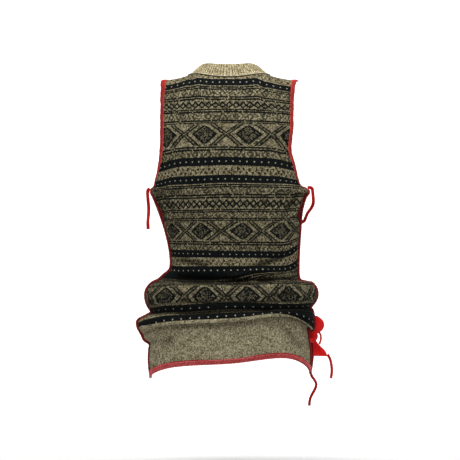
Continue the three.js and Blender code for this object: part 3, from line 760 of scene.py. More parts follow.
def fairIsleMaterial():
    shader = Shader("fair isle jacquard", 0.95)
    u, v = shader.stitches()
    column = u.floor()
    across = u - column - 0.5
    row = v - (1 - abs(across) * 2) * 0.3
    rowIndex = row.floor()
    r = rowIndex % chart["rows"]
    luck = shader.chance(column, rowIndex, 1.7)

    # large diamonds with crosses between
    x = abs((column % chart["diamondStitches"]) - diamondHalf)
    y = abs(r - (r > 60.0) * chart["rows"])
    inBand = y < chart["diamondHigh"]
    size = x / chart["diamondWide"] + y / chart["diamondTall"]
    diamond = size < 1.0
    pepper = (size < chart["core"]) * (((x + y) % 2.0) < 0.5) * (luck > 0.3)
    arm = abs(y - (diamondHalf - x) + 0.3)
    cross = (arm < chart["armWide"]) * (y < chart["armHigh"])
    crossLight = (arm < chart["armLight"]) * (luck > 0.12)
    specks = (luck > 0.86 - (v > 40.0) * 0.08) * (size > 1.0)
    diamondDark = inBand * (diamond - pepper * 0.62).most(cross * (1 - crossLight * 0.62)).most(specks * 0.8)

    # chain of lozenges, drawn in half stitches
    halfStitches = [(place * 2).floor() / 2 + 0.25 for place in (u, row % chart["rows"])]
    chainX = abs((halfStitches[0] % chart["chainStitches"]) - chart["chainStitches"] / 2)
    chainY = abs(halfStitches[1] - chart["chainMiddle"])
    ring = chainX / 3 + chainY / chart["chainTall"]
    chain = (chainY < chart["chainHigh"]) * (abs(ring - 0.87) < chart["chainLine"])
    centres = (chainX < 0.6) * (chainY < 0.6) * ((column % 18.0) < 6.0)
    chain = chain.most(centres)

    # two black bands with a line of single light stitches, and flecked marl between them
    bandA, flecked, bandB = (r.within(*chart[name]) for name in ("bandA", "flecked", "bandB"))
    lower = v > chart["lowerBands"]
    dotRow = r.equals(chart["dotRows"][0]).most(r.equals(chart["dotRows"][1]))
    dots = ((column % (lower * 2 + 6)) < 0.5) * dotRow * (luck > 0.03)
    flecks = r.within(29.5, 31.5) * ((column % 5.0) < 1.5)
    flecks = flecks + r.within(32.5, 34.5) * (((column + 2) % 5.0) < 1.5)
    flecks = (flecks * (luck > 0.15)).most((luck > 0.9) * flecked)
    # painted shadow: at the right of the lower bands the flecked strip is filled with black, for the shade in
    # the notch between the bands
    paintedNotchShadow = ((u - 20) / 14).least(1).most(0) * flecked * lower * 0.93

    # narrow marl bands with small crosses and rings
    low, middle, high = ((r.within(start, stop), first) for start, stop, first in chart["narrowBands"])
    fromTop = abs(r - low[0] * low[1] - middle[0] * middle[1] - high[0] * high[1] - 2.5)
    smallX = column % chart["smallStitches"]
    smallCross = (abs(abs(smallX - 2.5) - fromTop) < 0.3) * (smallX < 5.5)
    smallRing = (abs(abs(smallX - 8.5) + fromTop - 2.6) < 0.6) * (smallX > 5.5)
    small = low[0].most(middle[0]).most(high[0]) * smallCross.most(smallRing) * (luck > 0.14) * 0.8

    # fine lines, a little more than a row each
    exact = row % chart["rows"]
    lines = abs(exact - chart["lines"][0]) < chart["lineHalf"]
    for place in chart["lines"][1:]:
        lines = lines.most(abs(exact - place) < chart["lineHalf"])

    near, far = (r.within(*rows) for rows in chart["darkGrounds"])
    dark = diamondDark
    ground = near.most(far) * (luck > 0.82) * 0.85
    for part in (ground, paintedNotchShadow, chain, bandA, bandB, small, lines * (luck > 0.05)):
        dark = dark.most(part)
    plain = shader.blend(flecks, marlColour(shader, column, rowIndex, u, v), (*yarns["fleck"], 1))
    plain = shader.darken(plain, chart["light"])
    stray = shader.chance(column, rowIndex, 5.1)
    black = shader.blend((stray - 0.35) * 0.9, (*yarns["black"], 1), (*yarns["blackLight"], 1))
    colour = shader.blend(dark, plain, black)
    colour = shader.blend(dots * 0.85, colour, (*yarns["cream"], 1))
    leftward = 1 - ((u - 4) / 22).least(1).most(0) * 0.9
    # the rows in the valley and under the roll lie in shade
    shaded = (shader.hollow() * 0.86).most(v.within(131.5, 157.5) * leftward * 0.5)
    shaded = shaded.most(v.within(157.5, 166.5) * 0.38).most(v.within(157, 196) * 0.18)
    colour = shader.blend(shaded, colour, (*yarns["deep"], 1))
    return shader.finish(colour, yarnBump(shader, across, row), 0.0007, 0.8)


def marlMaterial(name, rib=0.0, brightening=1.0):
    shader = Shader(name, 0.95)
    u, v = shader.stitches()
    column = u.floor()
    across = u - column - 0.5
    row = v - (1 - abs(across) * 2) * 0.45
    colour = marlColour(shader, column, row.floor(), u, v)
    if rib:
        # painted shade: the furrow of each rib, one to the unit of u, is darker and holds less light
        furrow = abs((u / rib) % 1.0 - 0.5) * 2
        # the rib's colour is made brighter by this gain
        colour = shader.darken(colour, (brightening,) * 3 + (1,))
        shade = shader.ramp(furrow, (0.0, (1, 1, 1)), (0.6, (0.84, 0.82, 0.78)), (1.0, (0.34, 0.28, 0.2)))
        colour = shader.darken(colour, shade)
    else:
        # the last of the black rows, where the fold's edge is pulled down, then marl
        colour = shader.blend(v < 0.0, colour, (*yarns["black"], 1))
        # painted shade: the welt's folds and creases are blended toward the shade colour
        colour = shader.blend(shader.hollow() * 0.8, colour, (*yarns["deep"], 1))
    return shader.finish(colour, yarnBump(shader, across, row), 0.0007, 0.9)


def threadMaterial(name="red overlock thread", light=(1, 1, 1), paintedShadeBelow=0.42):
    # overlock thread: three strands of red with slow uneven dye, and painted shade that darkens it toward and
    # below the underarms
    shader = Shader(name, 0.6, 0.2, (1, 0.6, 0.55, 1))
    spot = shader.objectSpot()
    fine = shader.noise(spot, 900.0, 2.0)
    slow = shader.noise(spot, 60.0, 2.0)
    tone = fine * 0.6 + slow * 0.4
    shades = ((0.46, 0.030, 0.025), (0.74, 0.068, 0.055), (0.86, 0.16, 0.13))
    colour = shader.ramp(tone, *shadesOf((0.3, 0.5, 0.72), shades, light))
    height = shader.node("ShaderNodeSeparateXYZ", None, {0: spot}, 2)
    # painted shade: the thread grows darker between heights of -0.18 m and -0.3 m and stays darker below
    shade = shader.ramp((height + 0.3) / 0.12, (0, (paintedShadeBelow, paintedShadeBelow * 0.8, paintedShadeBelow * 0.9)), (1, (1, 1, 1)))
    return shader.finish(shader.darken(colour, shade), fine, 0.0002, 0.6)


def threadCoreMaterial():
    # what shows between the threads: the cut edge of the knit, dark, with red lint
    shader = Shader("overlocked edge under the thread", 0.95, 0.1)
    spot = shader.objectSpot()
    fine = shader.noise(spot, 700.0, 3.0)
    shades = ((0.10, 0.006, 0.006), (0.26, 0.015, 0.013), (0.34, 0.06, 0.045))
    colour = shader.ramp(fine, *shadesOf((0.35, 0.6, 0.75), shades))
    return shader.finish(colour, fine, 0.0004, 0.8)


def yarnMaterial(name, colour):
    shader = Shader(name, 0.95)
    fine = shader.noise(shader.objectSpot(), 800.0, 2.0)
    shades = [tuple(part * gain for part in colour) for gain in (0.6, 1, 1.3)]
    return shader.finish(shader.ramp(fine, *shadesOf((0.3, 0.5, 0.7), shades)), fine, 0.0002, 0.6)


def ribbonMaterial(name="red ribbon", depth=1.0):
    # soft woven ribbon: fine warp and weft on its own map, in threads
    shader = Shader(name, 0.55, 0.2, (1, 0.5, 0.45, 1))
    u, v = shader.stitches()
    warp, weft = ((thread * (2 * math.pi)).sine() for thread in (u, v))
    slow = shader.noise(shader.objectSpot(), 45.0, 2.0)
    shades = ((0.55, 0.006, 0.008), (0.76, 0.012, 0.012), (0.85, 0.026, 0.022))
    colour = shader.ramp(slow, *shadesOf((0.3, 0.5, 0.7), shades, (depth,) * 3))
    return shader.finish(colour, warp * weft, 0.00012, 0.5)


# the knitted walls

def placesByLength(half, start, stop, step):
    places, lengths = half.middleLength
    count = max(2, int(math.ceil((stop - start) / step)))
    return np.interp(np.linspace(start, stop, count + 1), lengths, places)


# at the right of the back the last black rows are pulled down onto the welt
pulledRows = {"start": 0.3, "run": 0.45, "rows": 3.2}


def knitWall(name, half, across, down, thickness, creases, rowsOfMarl):
    points = clothPoint(half, across, down)
    normals = gridNormals(points) * half.facing
    rise = creaseRise(creases, points)
    points = points + normals * (rise - sideDip(points))[..., None]
    normals = gridNormals(points) * half.facing
    columns = knitColumn(half, points, down[:, 0])
    rows = knitRow(half, across, down)
    if rowsOfMarl:
        rows = (lengthAt(half, down) - lengthAt(half, down[0, 0])) / rowHeight
        if half is back:
            pulled = np.clip((across - pulledRows["start"]) / pulledRows["run"], 0, 1)
            rows = rows - pulledRows["rows"] * eased(pulled)
    mesh = wallMesh(name, points, normals, thickness, np.stack([columns, rows], axis=-1))
    # painted shade of the folds and creases, kept on the points for the knit's colour
    shade = mesh.attributes.new("hollow", "FLOAT", "POINT")
    shade.data.foreach_set("value", np.tile(paintedFoldShade(half, points, rise).ravel(), 2).astype(np.float32))
    return mesh


# the step down each panel, then the steps across each side and over the neck; a welt has only the last two
panel = {
    "back": (2.7, 44, 56), "front": (3.6, 34, 42),
    "lipStep": 1.5, "weltStep": 2.5, "lipLength": 46, "hemRows": 9,
    "backWelt": (40, 48), "frontWelt": (32, 40),
}


def addPanel(name, node, half, creases, step, sides, neckSteps):
    down = placesByLength(half, 0, lengthAt(half, half.weltRow), step)
    across = columnPlaces(half, down, sides, neckSteps)
    down = np.broadcast_to(down[:, None], across.shape)
    item = newObject(name, knitWall(name, half, across, down, panelWall, creases, False))
    return finishPiece(item, materials["fairIsle"], "patterned_knit", node)


def addWelt(name, node, half, creases, sides, neckSteps):
    start = lengthAt(half, half.weltRow) + seamGap * 0.4
    lastRow = lengthAt(half, half.hemRow - 1)
    lip = placesByLength(half, start, start + panel["lipLength"], panel["lipStep"])
    below = placesByLength(half, start + panel["lipLength"], lastRow, panel["weltStep"])
    low = np.linspace(half.hemRow - 1, half.hemRow, panel["hemRows"])
    down = np.concatenate([lip, below[1:], low[1:]])
    across = columnPlaces(half, down, sides, neckSteps)
    lowest = half.hemRow - insetUp(half, across, edgingWidth + seamGap)
    down = np.broadcast_to(down[:, None], across.shape)
    edge = half.hemRow - 1
    down = np.where(down <= edge, down, edge + (lowest - edge) * (down - edge))
    item = newObject(name, knitWall(name, half, across, down, weltWall, creases, True))
    return finishPiece(item, materials["marl"], "marl_rib", node)


# the ribbed neckband

neckband = {
    "width": 27.5, "lap": 4.8, "lapRise": 1.7, "base": 2.2, "ribs": 84, "ribRise": 1.25, "sideLean": 0.73,
    "backLean": 0.3, "frontLean": 0.42, "pointsPerRib": 10, "rows": 16, "stitchesPerRib": 3,
    "lapRows": 4, "first": 1.2, "turn": 6, "lapFade": 3,
}


def alongRing(seam):
    return np.roll(seam, -1, axis=0) - np.roll(seam, 1, axis=0)


def neckRing(count):
    place = np.arange(count) * (2 * math.pi / count)
    share = np.sin(place)
    across = share * neckShare
    seam = np.empty((count, 3))
    normal = np.empty((count, 3))
    for half, mine in ((back, np.cos(place) >= 0), (front, np.cos(place) < 0)):
        here = across[mine]
        seam[mine] = yokePoint(half, here, np.zeros_like(here))
        side = (clothPoint(half, np.minimum(1, here + 0.004), np.zeros_like(here))
                - clothPoint(half, np.maximum(-1, here - 0.004), np.zeros_like(here)))
        fall = clothPoint(half, here, np.full_like(here, 0.004)) - seam[mine]
        normal[mine] = unit(np.cross(side, fall) * half.facing)
    lean = np.where(np.cos(place) >= 0, neckband["backLean"], -neckband["frontLean"])
    x = -neckband["sideLean"] * share
    y = lean * np.abs(np.cos(place))
    rise = np.stack([x, y, np.sqrt(1 - x * x - y * y)], axis=-1)
    fall = unit(np.cross(normal, alongRing(seam)))
    fall *= -np.sign(np.einsum("ij,ij->i", fall, rise))[:, None]
    return place, seam, normal, rise, fall


def addNeckband():
    count = neckband["ribs"] * neckband["pointsPerRib"]
    place, seam, seamNormal, rise, fall = neckRing(count)
    ownNormal = unit(np.cross(alongRing(seam), rise))
    rib = 0.5 + 0.5 * np.cos(place * neckband["ribs"])
    heights = np.concatenate([np.linspace(-neckband["lap"], 0, neckband["lapRows"]),
                              np.linspace(neckband["first"], neckband["width"], neckband["rows"])])
    outer, inner, uv = [], [], []
    for j, height in enumerate(heights):
        ends = min(1, j / 2, (len(heights) - 1 - j) / 2 + 0.45)
        blend = min(1, max(0, height) / neckband["turn"])
        normal = unit(mix(seamNormal, ownNormal, blend))
        over = neckband["lapRise"] * min(1, max(0, 1 - height / neckband["lapFade"]))
        point = seam + (rise if height > 0 else -fall) * height + seamNormal * over
        relief = neckband["base"] / 2 + neckband["ribRise"] * rib ** 0.8 * ends
        outer.append(point + normal * relief[:, None])
        inner.append(point - normal * neckband["base"] / 2)
        turn = place / (2 * math.pi) * neckband["ribs"]
        uv.append(np.stack([(turn + 0.5) * neckband["stitchesPerRib"],
                            np.full(count, -height / rowHeight)], axis=-1))
    mesh = shellMesh("neckband", np.array(outer), np.array(inner), np.array(uv), ring=True)
    item = newObject("neckband", mesh)
    finishPiece(item, materials["ribbedMarl"], "marl_rib", "neckband_rib")
    girth = float(np.linalg.norm(np.roll(seam, -1, axis=0) - seam, axis=-1).sum()) * mm


# red overlocked edges: a dark core in the edging's own form, and thread wound over it by Geometry Nodes

overlock = {
    "pitch": 2.7, "thread": 0.52, "loopWidth": 6.6, "hemLoopWidth": 5.6, "loopRise": 2.25, "slant": 0.34,
    "needlePitch": 6.4, "needleThread": 0.6, "ripple": 0.6, "waves": (6.1, 2.9), "step": 3.0,
    "coreSides": 12, "corner": 0.8, "coreIn": 0.35, "coreThin": 0.85, "wobble": 0.12, "tuck": 0.5,
    "rolledTuck": 1.4,
}


def edgeFrames(half, side, step):
    # the middle of the edging, with the ways out to the cut edge and off the cloth
    count = int(lengthAt(half, half.hemRow) / step)
    down = np.linspace(0, half.hemRow, count * 2 + 1)
    inset = insetAcross(half, side, down, edgingWidth)
    edge = clothPoint(half, np.full_like(down, side), down)
    inward = clothPoint(half, side * (1 - inset), down)
    middle, toEdge, off = evenFrames(edge, inward, half.facing * side, step)
    # the free edge of the armhole ripples outward; below it the edge is pulled straight
    along = np.arange(len(middle)) * step
    slow, quick = overlock["waves"]
    ripple = overlock["ripple"] * (1 + 0.7 * np.sin(along / slow + side) + 0.5 * np.sin(along / quick))
    ripple *= 1 - 0.7 * rolled(middle[:, 2])
    return middle + toEdge * ripple[:, None], toEdge, off


def hemFrames(half, step):
    down = np.full(161, float(half.hemRow))
    left = -1 + insetAcross(half, -1, down[:1], edgingWidth + seamGap)[0]
    right = 1 - insetAcross(half, 1, down[:1], edgingWidth + seamGap)[0]
    across = np.linspace(left, right, len(down))
    edge = clothPoint(half, across, down)
    inward = clothPoint(half, across, down - insetUp(half, across, edgingWidth))
    return evenFrames(edge, inward, -half.facing, step)


def evenFrames(edge, inward, turn, step):
    middle, toEdge = spacedEvenly(step, (edge + inward) / 2, edge - inward)
    toEdge = unit(toEdge)
    return middle, toEdge, unit(np.cross(toEdge, np.gradient(middle, axis=0)) * turn)


def addEdging(name, node, frames, thread, width):
    middle, toEdge, off = frames
    sides = overlock["coreSides"]
    rings = []
    wobble = np.array([random.uniform(-overlock["wobble"], overlock["wobble"]) for _ in middle])
    lift = edgeRoll["out"] * rolled(middle[:, 2])
    for k in range(sides):
        angle = 2 * math.pi * k / sides
        wide, high = (math.copysign(abs(share) ** overlock["corner"], share) * reach for share, reach in (
            (math.cos(angle), edgingWidth / 2 - overlock["coreIn"]),
            (math.sin(angle), edgingWall / 2 - overlock["coreThin"])))
        under = wobble - overlock["tuck"] - overlock["rolledTuck"] * lift if wide < 0 else wobble
        rings.append(middle + toEdge * (wide + under)[:, None]
                     + off * (high + wobble + (lift if high > 0.3 else -lift * 0.8))[:, None])
    core = newObject(name, tubeMesh(name, np.stack(rings, axis=1)))
    finishPiece(core, materials["threadCore"], "red_overlock", node)
    addThreads(name + "_threads", frames, materials[thread], width)


class ThreadTree:
    # a Geometry Nodes tree that sets thread along a line of points; its inputs are numbers, but for
    # the seed and the material
    kinds = {"Geometry": "NodeSocketGeometry", "Seed": "NodeSocketInt", "Material": "NodeSocketMaterial"}

    def __init__(self, name, *inputs):
        self.tree = bpy.data.node_groups.new(name, "GeometryNodeTree")
        for label in ("Geometry", *inputs):
            kind = self.kinds.get(label, "NodeSocketFloat")
            self.tree.interface.new_socket(label, in_out="INPUT", socket_type=kind)
        self.tree.interface.new_socket("Geometry", in_out="OUTPUT", socket_type=self.kinds["Geometry"])
        self.given = self.add("NodeGroupInput", whole=True).outputs
        self.line = self.add("GeometryNodeMeshToCurve", {0: self.given["Geometry"]})
        self.spot = self.add("GeometryNodeInputPosition")

    def add(self, kind, sockets=None, whole=False, **settings):
        made = self.tree.nodes.new(kind)
        for key, value in settings.items():
            setattr(made, key, value)
        for key, value in (sockets or {}).items():
            if isinstance(value, bpy.types.NodeSocket):
                self.tree.links.new(value, made.inputs[key])
            else:
                made.inputs[key].default_value = value
        return made if whole or not made.outputs else made.outputs[0]

    def times(self, a, b):
        return self.add("ShaderNodeMath", {0: a, 1: b}, operation="MULTIPLY")

    def attribute(self, name):
        return self.add("GeometryNodeInputNamedAttribute", {0: name}, data_type="FLOAT_VECTOR")

    def rotation(self, up, forward):
        sockets = {0: up, 1: forward}
        return self.add("FunctionNodeAxesToRotation", sockets, primary_axis="Z", secondary_axis="X")

    def circle(self, resolution, radius):
        sockets = {"Resolution": resolution, "Radius": radius}
        return self.add("GeometryNodeCurvePrimitiveCircle", sockets, mode="RADIUS")

    def stitch(self, resolution, shape, thread):
        # a circle drawn out to a shape, with thread round it
        shaped = self.add("ShaderNodeCombineXYZ", dict(enumerate(shape)))
        circle = self.circle(resolution, 1.0)
        loop = self.add("GeometryNodeSetPosition", {"Geometry": circle, "Position": shaped})
        return self.add("GeometryNodeCurveToMesh", {0: loop, 1: self.circle(5, self.given[thread])})

    def repeated(self, stitch, pitch, rotation):
        spacing = {"Curve": self.line, "Length": self.given[pitch]}
        points = self.add("GeometryNodeResampleCurve", spacing, mode="LENGTH")
        placing = {"Points": points, "Instance": stitch, "Rotation": rotation}
        return self.add("GeometryNodeInstanceOnPoints", placing)

    def finish(self, *parts):
        joined = self.add("GeometryNodeJoinGeometry", whole=True)
        for part in parts:
            self.tree.links.new(part, joined.inputs[0])
        real = self.add("GeometryNodeRealizeInstances", {0: joined.outputs[0]})
        smooth = self.add("GeometryNodeSetShadeSmooth", {0: real})
        painted = self.add("GeometryNodeSetMaterial", {0: smooth, "Material": self.given["Material"]})
        self.add("NodeGroupOutput", {0: painted})
        return self.tree


def overlockTree():
    # loops of thread round the edge at an even pitch, and a line of long needle stitches inside them
    tree = ThreadTree("overlock threads", "Pitch", "Thread", "Loop Width", "Loop Rise", "Slant",
                      "Needle Pitch", "Needle Thread", "Seed", "Material")
    given = tree.given
    facing = tree.rotation(tree.attribute("offCloth"), tree.attribute("toEdge"))
    lean = tree.add("FunctionNodeRandomValue", {0: (-0.05, -0.05, -0.12), 1: (0.05, 0.05, 0.12),
                                                "Seed": given["Seed"]}, data_type="FLOAT_VECTOR")
    leaning = tree.add("FunctionNodeRotateRotation", {0: facing, 1: lean}, rotation_space="LOCAL")
    x, y = tree.add("ShaderNodeSeparateXYZ", {0: tree.spot}, whole=True).outputs[:2]
    wide, high = tree.times(x, given["Loop Width"]), tree.times(y, given["Loop Rise"])
    loop = tree.stitch(12, (wide, tree.times(wide, given["Slant"]), high), "Thread")
    inward = tree.times(given["Loop Width"], -0.80)
    alongStitch = tree.times(x, tree.times(given["Needle Pitch"], 0.46))
    needle = tree.stitch(10, (inward, alongStitch, tree.times(high, 1.12)), "Needle Thread")
    return tree.finish(tree.repeated(loop, "Pitch", leaning), tree.repeated(needle, "Needle Pitch", facing))


def runNodes(name, path, attributes, tree, values, closed=False):
    # a line of points with vector attributes goes through the tree, and comes out as a plain mesh
    mesh = bpy.data.meshes.new(name + "_path")
    count = len(path)
    edges = [(k, k + 1) for k in range(count - 1)] + ([(count - 1, 0)] if closed else [])
    mesh.from_pydata((path * mm).tolist(), edges, [])
    for label, vectors in attributes.items():
        layer = mesh.attributes.new(label, "FLOAT_VECTOR", "POINT")
        layer.data.foreach_set("vector", vectors.astype(np.float32).ravel())
    carrier = newObject(name + "_path", mesh)
    modifier = carrier.modifiers.new("nodes", "NODES")
    modifier.node_group = tree
    for socket in tree.interface.items_tree:
        if socket.in_out == "INPUT" and socket.name in values:
            modifier[socket.identifier] = values[socket.name]
    depsgraph = bpy.context.evaluated_depsgraph_get()
    made = bpy.data.meshes.new_from_object(carrier.evaluated_get(depsgraph))
    made.name = name
    bpy.data.objects.remove(carrier)
    return newObject(name, made)


def addThreads(name, frames, thread, width):
    middle, toEdge, off = frames
    middle = middle + off * (edgeRoll["out"] * rolled(middle[:, 2]))[:, None]
    middle = middle - toEdge * (width - edgingWidth / 2)
    item = runNodes(name, middle, {"offCloth": off, "toEdge": toEdge}, trees["overlock"], {
        "Pitch": overlock["pitch"] * mm, "Thread": overlock["thread"] * mm,
        "Loop Width": width * mm, "Loop Rise": overlock["loopRise"] * mm,
        "Slant": overlock["slant"], "Needle Pitch": overlock["needlePitch"] * mm,
        "Needle Thread": overlock["needleThread"] * mm, "Seed": 11, "Material": thread})
    return finishPiece(item, thread, "red_overlock")


# the neck seam's linking: a chain of small loops where the band meets the panels, and just below it a dark
# chain as painted shadow along the seam

linking = {
    "pitch": 3.4, "long": 2.1, "wide": 0.95, "thread": 0.42, "points": 360,
    "rows": (("neck_linking", "linking", -0.4, 2.9, 1.0), ("neck_seam", "seamShadowYarn", 1.2, 1.6, 0.7)),
}


def linkingTree():
    tree = ThreadTree("linking stitches", "Pitch", "Long", "Wide", "Thread", "Material")
    facing = tree.rotation(tree.attribute("offCloth"), tree.add("GeometryNodeInputTangent"))
    x, y = tree.add("ShaderNodeSeparateXYZ", {0: tree.spot}, whole=True).outputs[:2]
    shape = (tree.times(x, tree.given["Long"]), tree.times(y, tree.given["Wide"]), 0.0)
    return tree.finish(tree.repeated(tree.stitch(10, shape, "Thread"), "Pitch", facing))


def addLinking():
    _, seam, normal, _, fall = neckRing(linking["points"])
    for name, material, past, off, size in linking["rows"]:
        path = seam + normal * off + fall * (neckband["lap"] + past)
        item = runNodes(name, path, {"offCloth": normal}, trees["linking"], {
            "Pitch": linking["pitch"] * size * mm, "Long": linking["long"] * size * mm,
            "Wide": linking["wide"] * size * mm, "Thread": linking["thread"] * mm,
            "Material": materials[material]}, closed=True)
        finishPiece(item, materials[material], "marl_rib")


# ribbon: the ties, knots and bow

ribbon = {"threads": 0.55, "step": 1.6, "sides": 12, "spread": 1.25}

ties = {
    "underarm_tie_left": {"width": 6, "thick": 3.2, "turn": 0.35, "route": (
        (-176.2, 0, -245), (-180, 0, -247), (-181.3, 0.3, -252), (-181, 0.8, -262), (-180, 1, -274),
        (-179, 0.6, -288), (-179.4, 0, -302), (-180.6, -0.5, -316), (-180.4, -0.5, -327), (-180, 0, -334))},
    "underarm_tie_right": {"width": 6, "thick": 3.2, "turn": -0.4, "route": (
        (170.6, 0, -243), (176, 0, -242), (181, 0.3, -245), (182, 0.8, -252), (183, 1.4, -262),
        (183.6, 2, -272), (182, 2.5, -281), (177, 3, -290), (171, 3, -298),
        (167, 2.5, -307), (163.5, 2, -315), (157, 2, -319))},
    "hip_cord": {"width": 5, "thick": 3.2, "turn": 0.3, "route": (
        (214.6, 3, -609.6), (217.4, 3, -613.6), (220.5, 3, -620), (222.6, 3, -629), (224, 3, -638),
        (224.2, 3, -648), (223.2, 3, -656), (222, 3, -662))},
    "hem_tail": {"width": 5, "thick": 3.2, "turn": 0.4, "route": (
        (177.4, -12, -651.6), (180, -12, -657), (185, -11.5, -664), (188.6, -11, -671), (188.6, -10.5, -678),
        (185, -10, -687), (180, -9.5, -696), (176, -9, -705), (174.4, -9, -714), (174, -9, -721))},
}


def smoothRoute(route, step):
    # a centripetal spline through the route's points, taken again at even lengths
    spots = withEnds(np.array(route, float))
    line = []
    for before, a, b, after in zip(spots, spots[1:], spots[2:], spots[3:]):
        gaps = [max(1e-6, float(np.linalg.norm(q - p))) ** 0.5 for p, q in ((before, a), (a, b), (b, after))]
        slopeA = ((a - before) / gaps[0] - (b - before) / (gaps[0] + gaps[1]) + (b - a) / gaps[1]) * gaps[1]
        slopeB = ((b - a) / gaps[1] - (after - a) / (gaps[1] + gaps[2]) + (after - b) / gaps[2]) * gaps[1]
        t = np.linspace(0, 1, 12, endpoint=False)[:, None]
        line.append(hermite(a, b, slopeA, slopeB, t))
    line = np.concatenate(line + [spots[-2:-1]])
    return spacedEvenly(step, line)[0], float(lengthsAlong(line)[-1])


def bandMesh(name, path, width, thick, turn):
    # a flat band along a path, its broad side toward the back, with a slow turn and soft ends
    along = unit(np.gradient(path, axis=0))
    broad = unit(np.cross(along, (0, 1, 0)))
    flat = np.cross(broad, along)
    share = np.linspace(0, 1, len(path))
    angle = turn * np.sin(share * math.pi * 2)[:, None]
    wide = broad * np.cos(angle) + flat * np.sin(angle)
    high = flat * np.cos(angle) - broad * np.sin(angle)
    sides = ribbon["sides"]
    rings, uv = [], []
    for k in range(sides):
        place = 2 * math.pi * k / sides
        across, rise = math.cos(place), math.sin(place)
        across = math.copysign(abs(across) ** 0.7, across)
        rings.append(path + wide * across * width / 2 + high * rise * thick / 2)
        uv.append(np.stack([np.full(len(path), (across + 1) * width / 2 / ribbon["threads"]),
                            share * len(path) * ribbon["step"] / ribbon["threads"]], axis=-1))
    return tubeMesh(name, np.stack(rings, axis=1), np.stack(uv, axis=1))


def addRibbon(name, node, mesh, material="ribbon"):
    return finishPiece(newObject(name, mesh), materials[material], "red_ribbon", node)


def addTie(name):
    size = ties[name]
    path, length = smoothRoute(size["route"], ribbon["step"])
    mesh = bandMesh(name + "_ribbon", path, size["width"] * ribbon["spread"], size["thick"], size["turn"])
    item = addRibbon(name + "_ribbon", name, mesh, "tie")


knots = {
    "underarm_knot_left": {"folds": 3, "slant": 0.9, "seed": 1, "shift": (0, 0, 0), "size": (1, 1, 1)},
    "underarm_knot_right": {"folds": 3, "slant": -0.8, "seed": 2, "shift": (0, 0, 0), "size": (1, 1, 1)},
    "hip_knot": {"folds": 4, "slant": 0.7, "seed": 3, "shift": (7, 0, 4), "size": (1.35, 1, 1.75)},
}

knotGrid = {"rows": 20, "columns": 32, "fold": 0.09, "threadsRound": 9, "threadsDown": 12}


def addKnot(name):
    # a pulled knot: an egg of ribbon with its turns showing as slanting folds
    low, high = (np.array(corner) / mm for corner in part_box(name))
    shape = knots[name]
    centre = (low + high) / 2 + np.array(shape["shift"])
    half = (high - low) / 2 * np.array(shape["size"])
    rows, columns = knotGrid["rows"], knotGrid["columns"]
    points, uv = [], []
    for j in range(rows + 1):
        lift = math.pi * j / rows
        for k in range(columns):
            turn = 2 * math.pi * k / columns
            fold = math.sin(shape["folds"] * (turn + shape["slant"] * math.cos(lift) * 2) + shape["seed"])
            size = 1 + knotGrid["fold"] * fold * math.sin(lift) ** 0.5
            points.append(centre + half * size * np.array([
                math.sin(lift) * math.cos(turn), math.cos(lift), math.sin(lift) * math.sin(turn)]))
            uv.append((turn * knotGrid["threadsRound"], lift * knotGrid["threadsDown"]))
    mesh = outward(meshFrom(name + "_folds", points, ringFaces(rows, columns), uv))
    addRibbon(name + "_folds", name, mesh)


bow = {
    "loop": {"start": 178, "reach": 29, "height": -544, "half": 19, "nearY": -11, "farY": 12,
             "roundness": 0.9, "grid": (49, 25), "run": 62},
    "tail": {"left": 183.2, "y": 0.5, "wave": 2.5, "z": (-566, -577, -588, -601, -613),
             "x": (190, 188.5, 196, 209, 214.5), "grid": (33, 17), "wide": 24, "run": 48},
    "strand": {"width": 4.6, "thick": 2.2, "route": (
        (195.5, 3, -560), (199, 3, -565), (200.2, 2.4, -571), (199.6, 1.8, -578), (196.6, 1, -587))},
}


def gridOver(counts, low):
    # places along and across a ribbon, across it from low to 1
    return np.meshgrid(np.linspace(0, 1, counts[0]), np.linspace(low, 1, counts[1]), indexing="ij")


def addBowLoop():
    size = bow["loop"]
    along, across = gridOver(size["grid"], -1)
    out = np.sin(along * math.pi)
    pucker = np.sin(across * 5 + along * 3) * 0.45 * (1 - out) + np.sin(across * 11) * 0.25 * (1 - out) ** 2
    points = np.stack([
        size["start"] + size["reach"] * out * np.sqrt(1 - (size["roundness"] * across) ** 2 * out),
        mix(size["nearY"], size["farY"], (1 - np.cos(along * math.pi)) / 2),
        size["height"] + across * size["half"]], axis=-1)
    normals = gridNormals(points)
    points = points + normals * pucker[..., None]
    uv = np.stack([(across + 1) * size["half"], along * size["run"]], axis=-1) / ribbon["threads"]
    mesh = wallMesh("hip_bow_loop_ribbon", points, normals, ribbonWall, uv)
    item = addRibbon("hip_bow_loop_ribbon", "hip_bow_loop", mesh)


def addBowTail():
    size = bow["tail"]
    along, across = gridOver(size["grid"], 0)
    place = along * (len(size["z"]) - 1)
    x = mix(size["left"], smoothFromList(size["x"], place), across)
    y = size["y"] + size["wave"] * along * np.sin(2 * math.pi * across)
    points = np.stack([x, y, smoothFromList(size["z"], place)], axis=-1)
    normals = gridNormals(points)
    uv = np.stack([across * size["wide"], along * size["run"]], axis=-1) / ribbon["threads"]
    mesh = wallMesh("hip_bow_tail_ribbon", points, normals, ribbonWall, uv)
    item = addRibbon("hip_bow_tail_ribbon", "hip_bow_tail", mesh)


def addStrand():
    size = bow["strand"]
    path, _ = smoothRoute(size["route"], 1.0)
    mesh = bandMesh("hip_bow_strand_ribbon", path, size["width"], size["thick"], 0.2)
    addRibbon("hip_bow_strand_ribbon", "hip_bow_strand", mesh)


# light, and a white ground behind

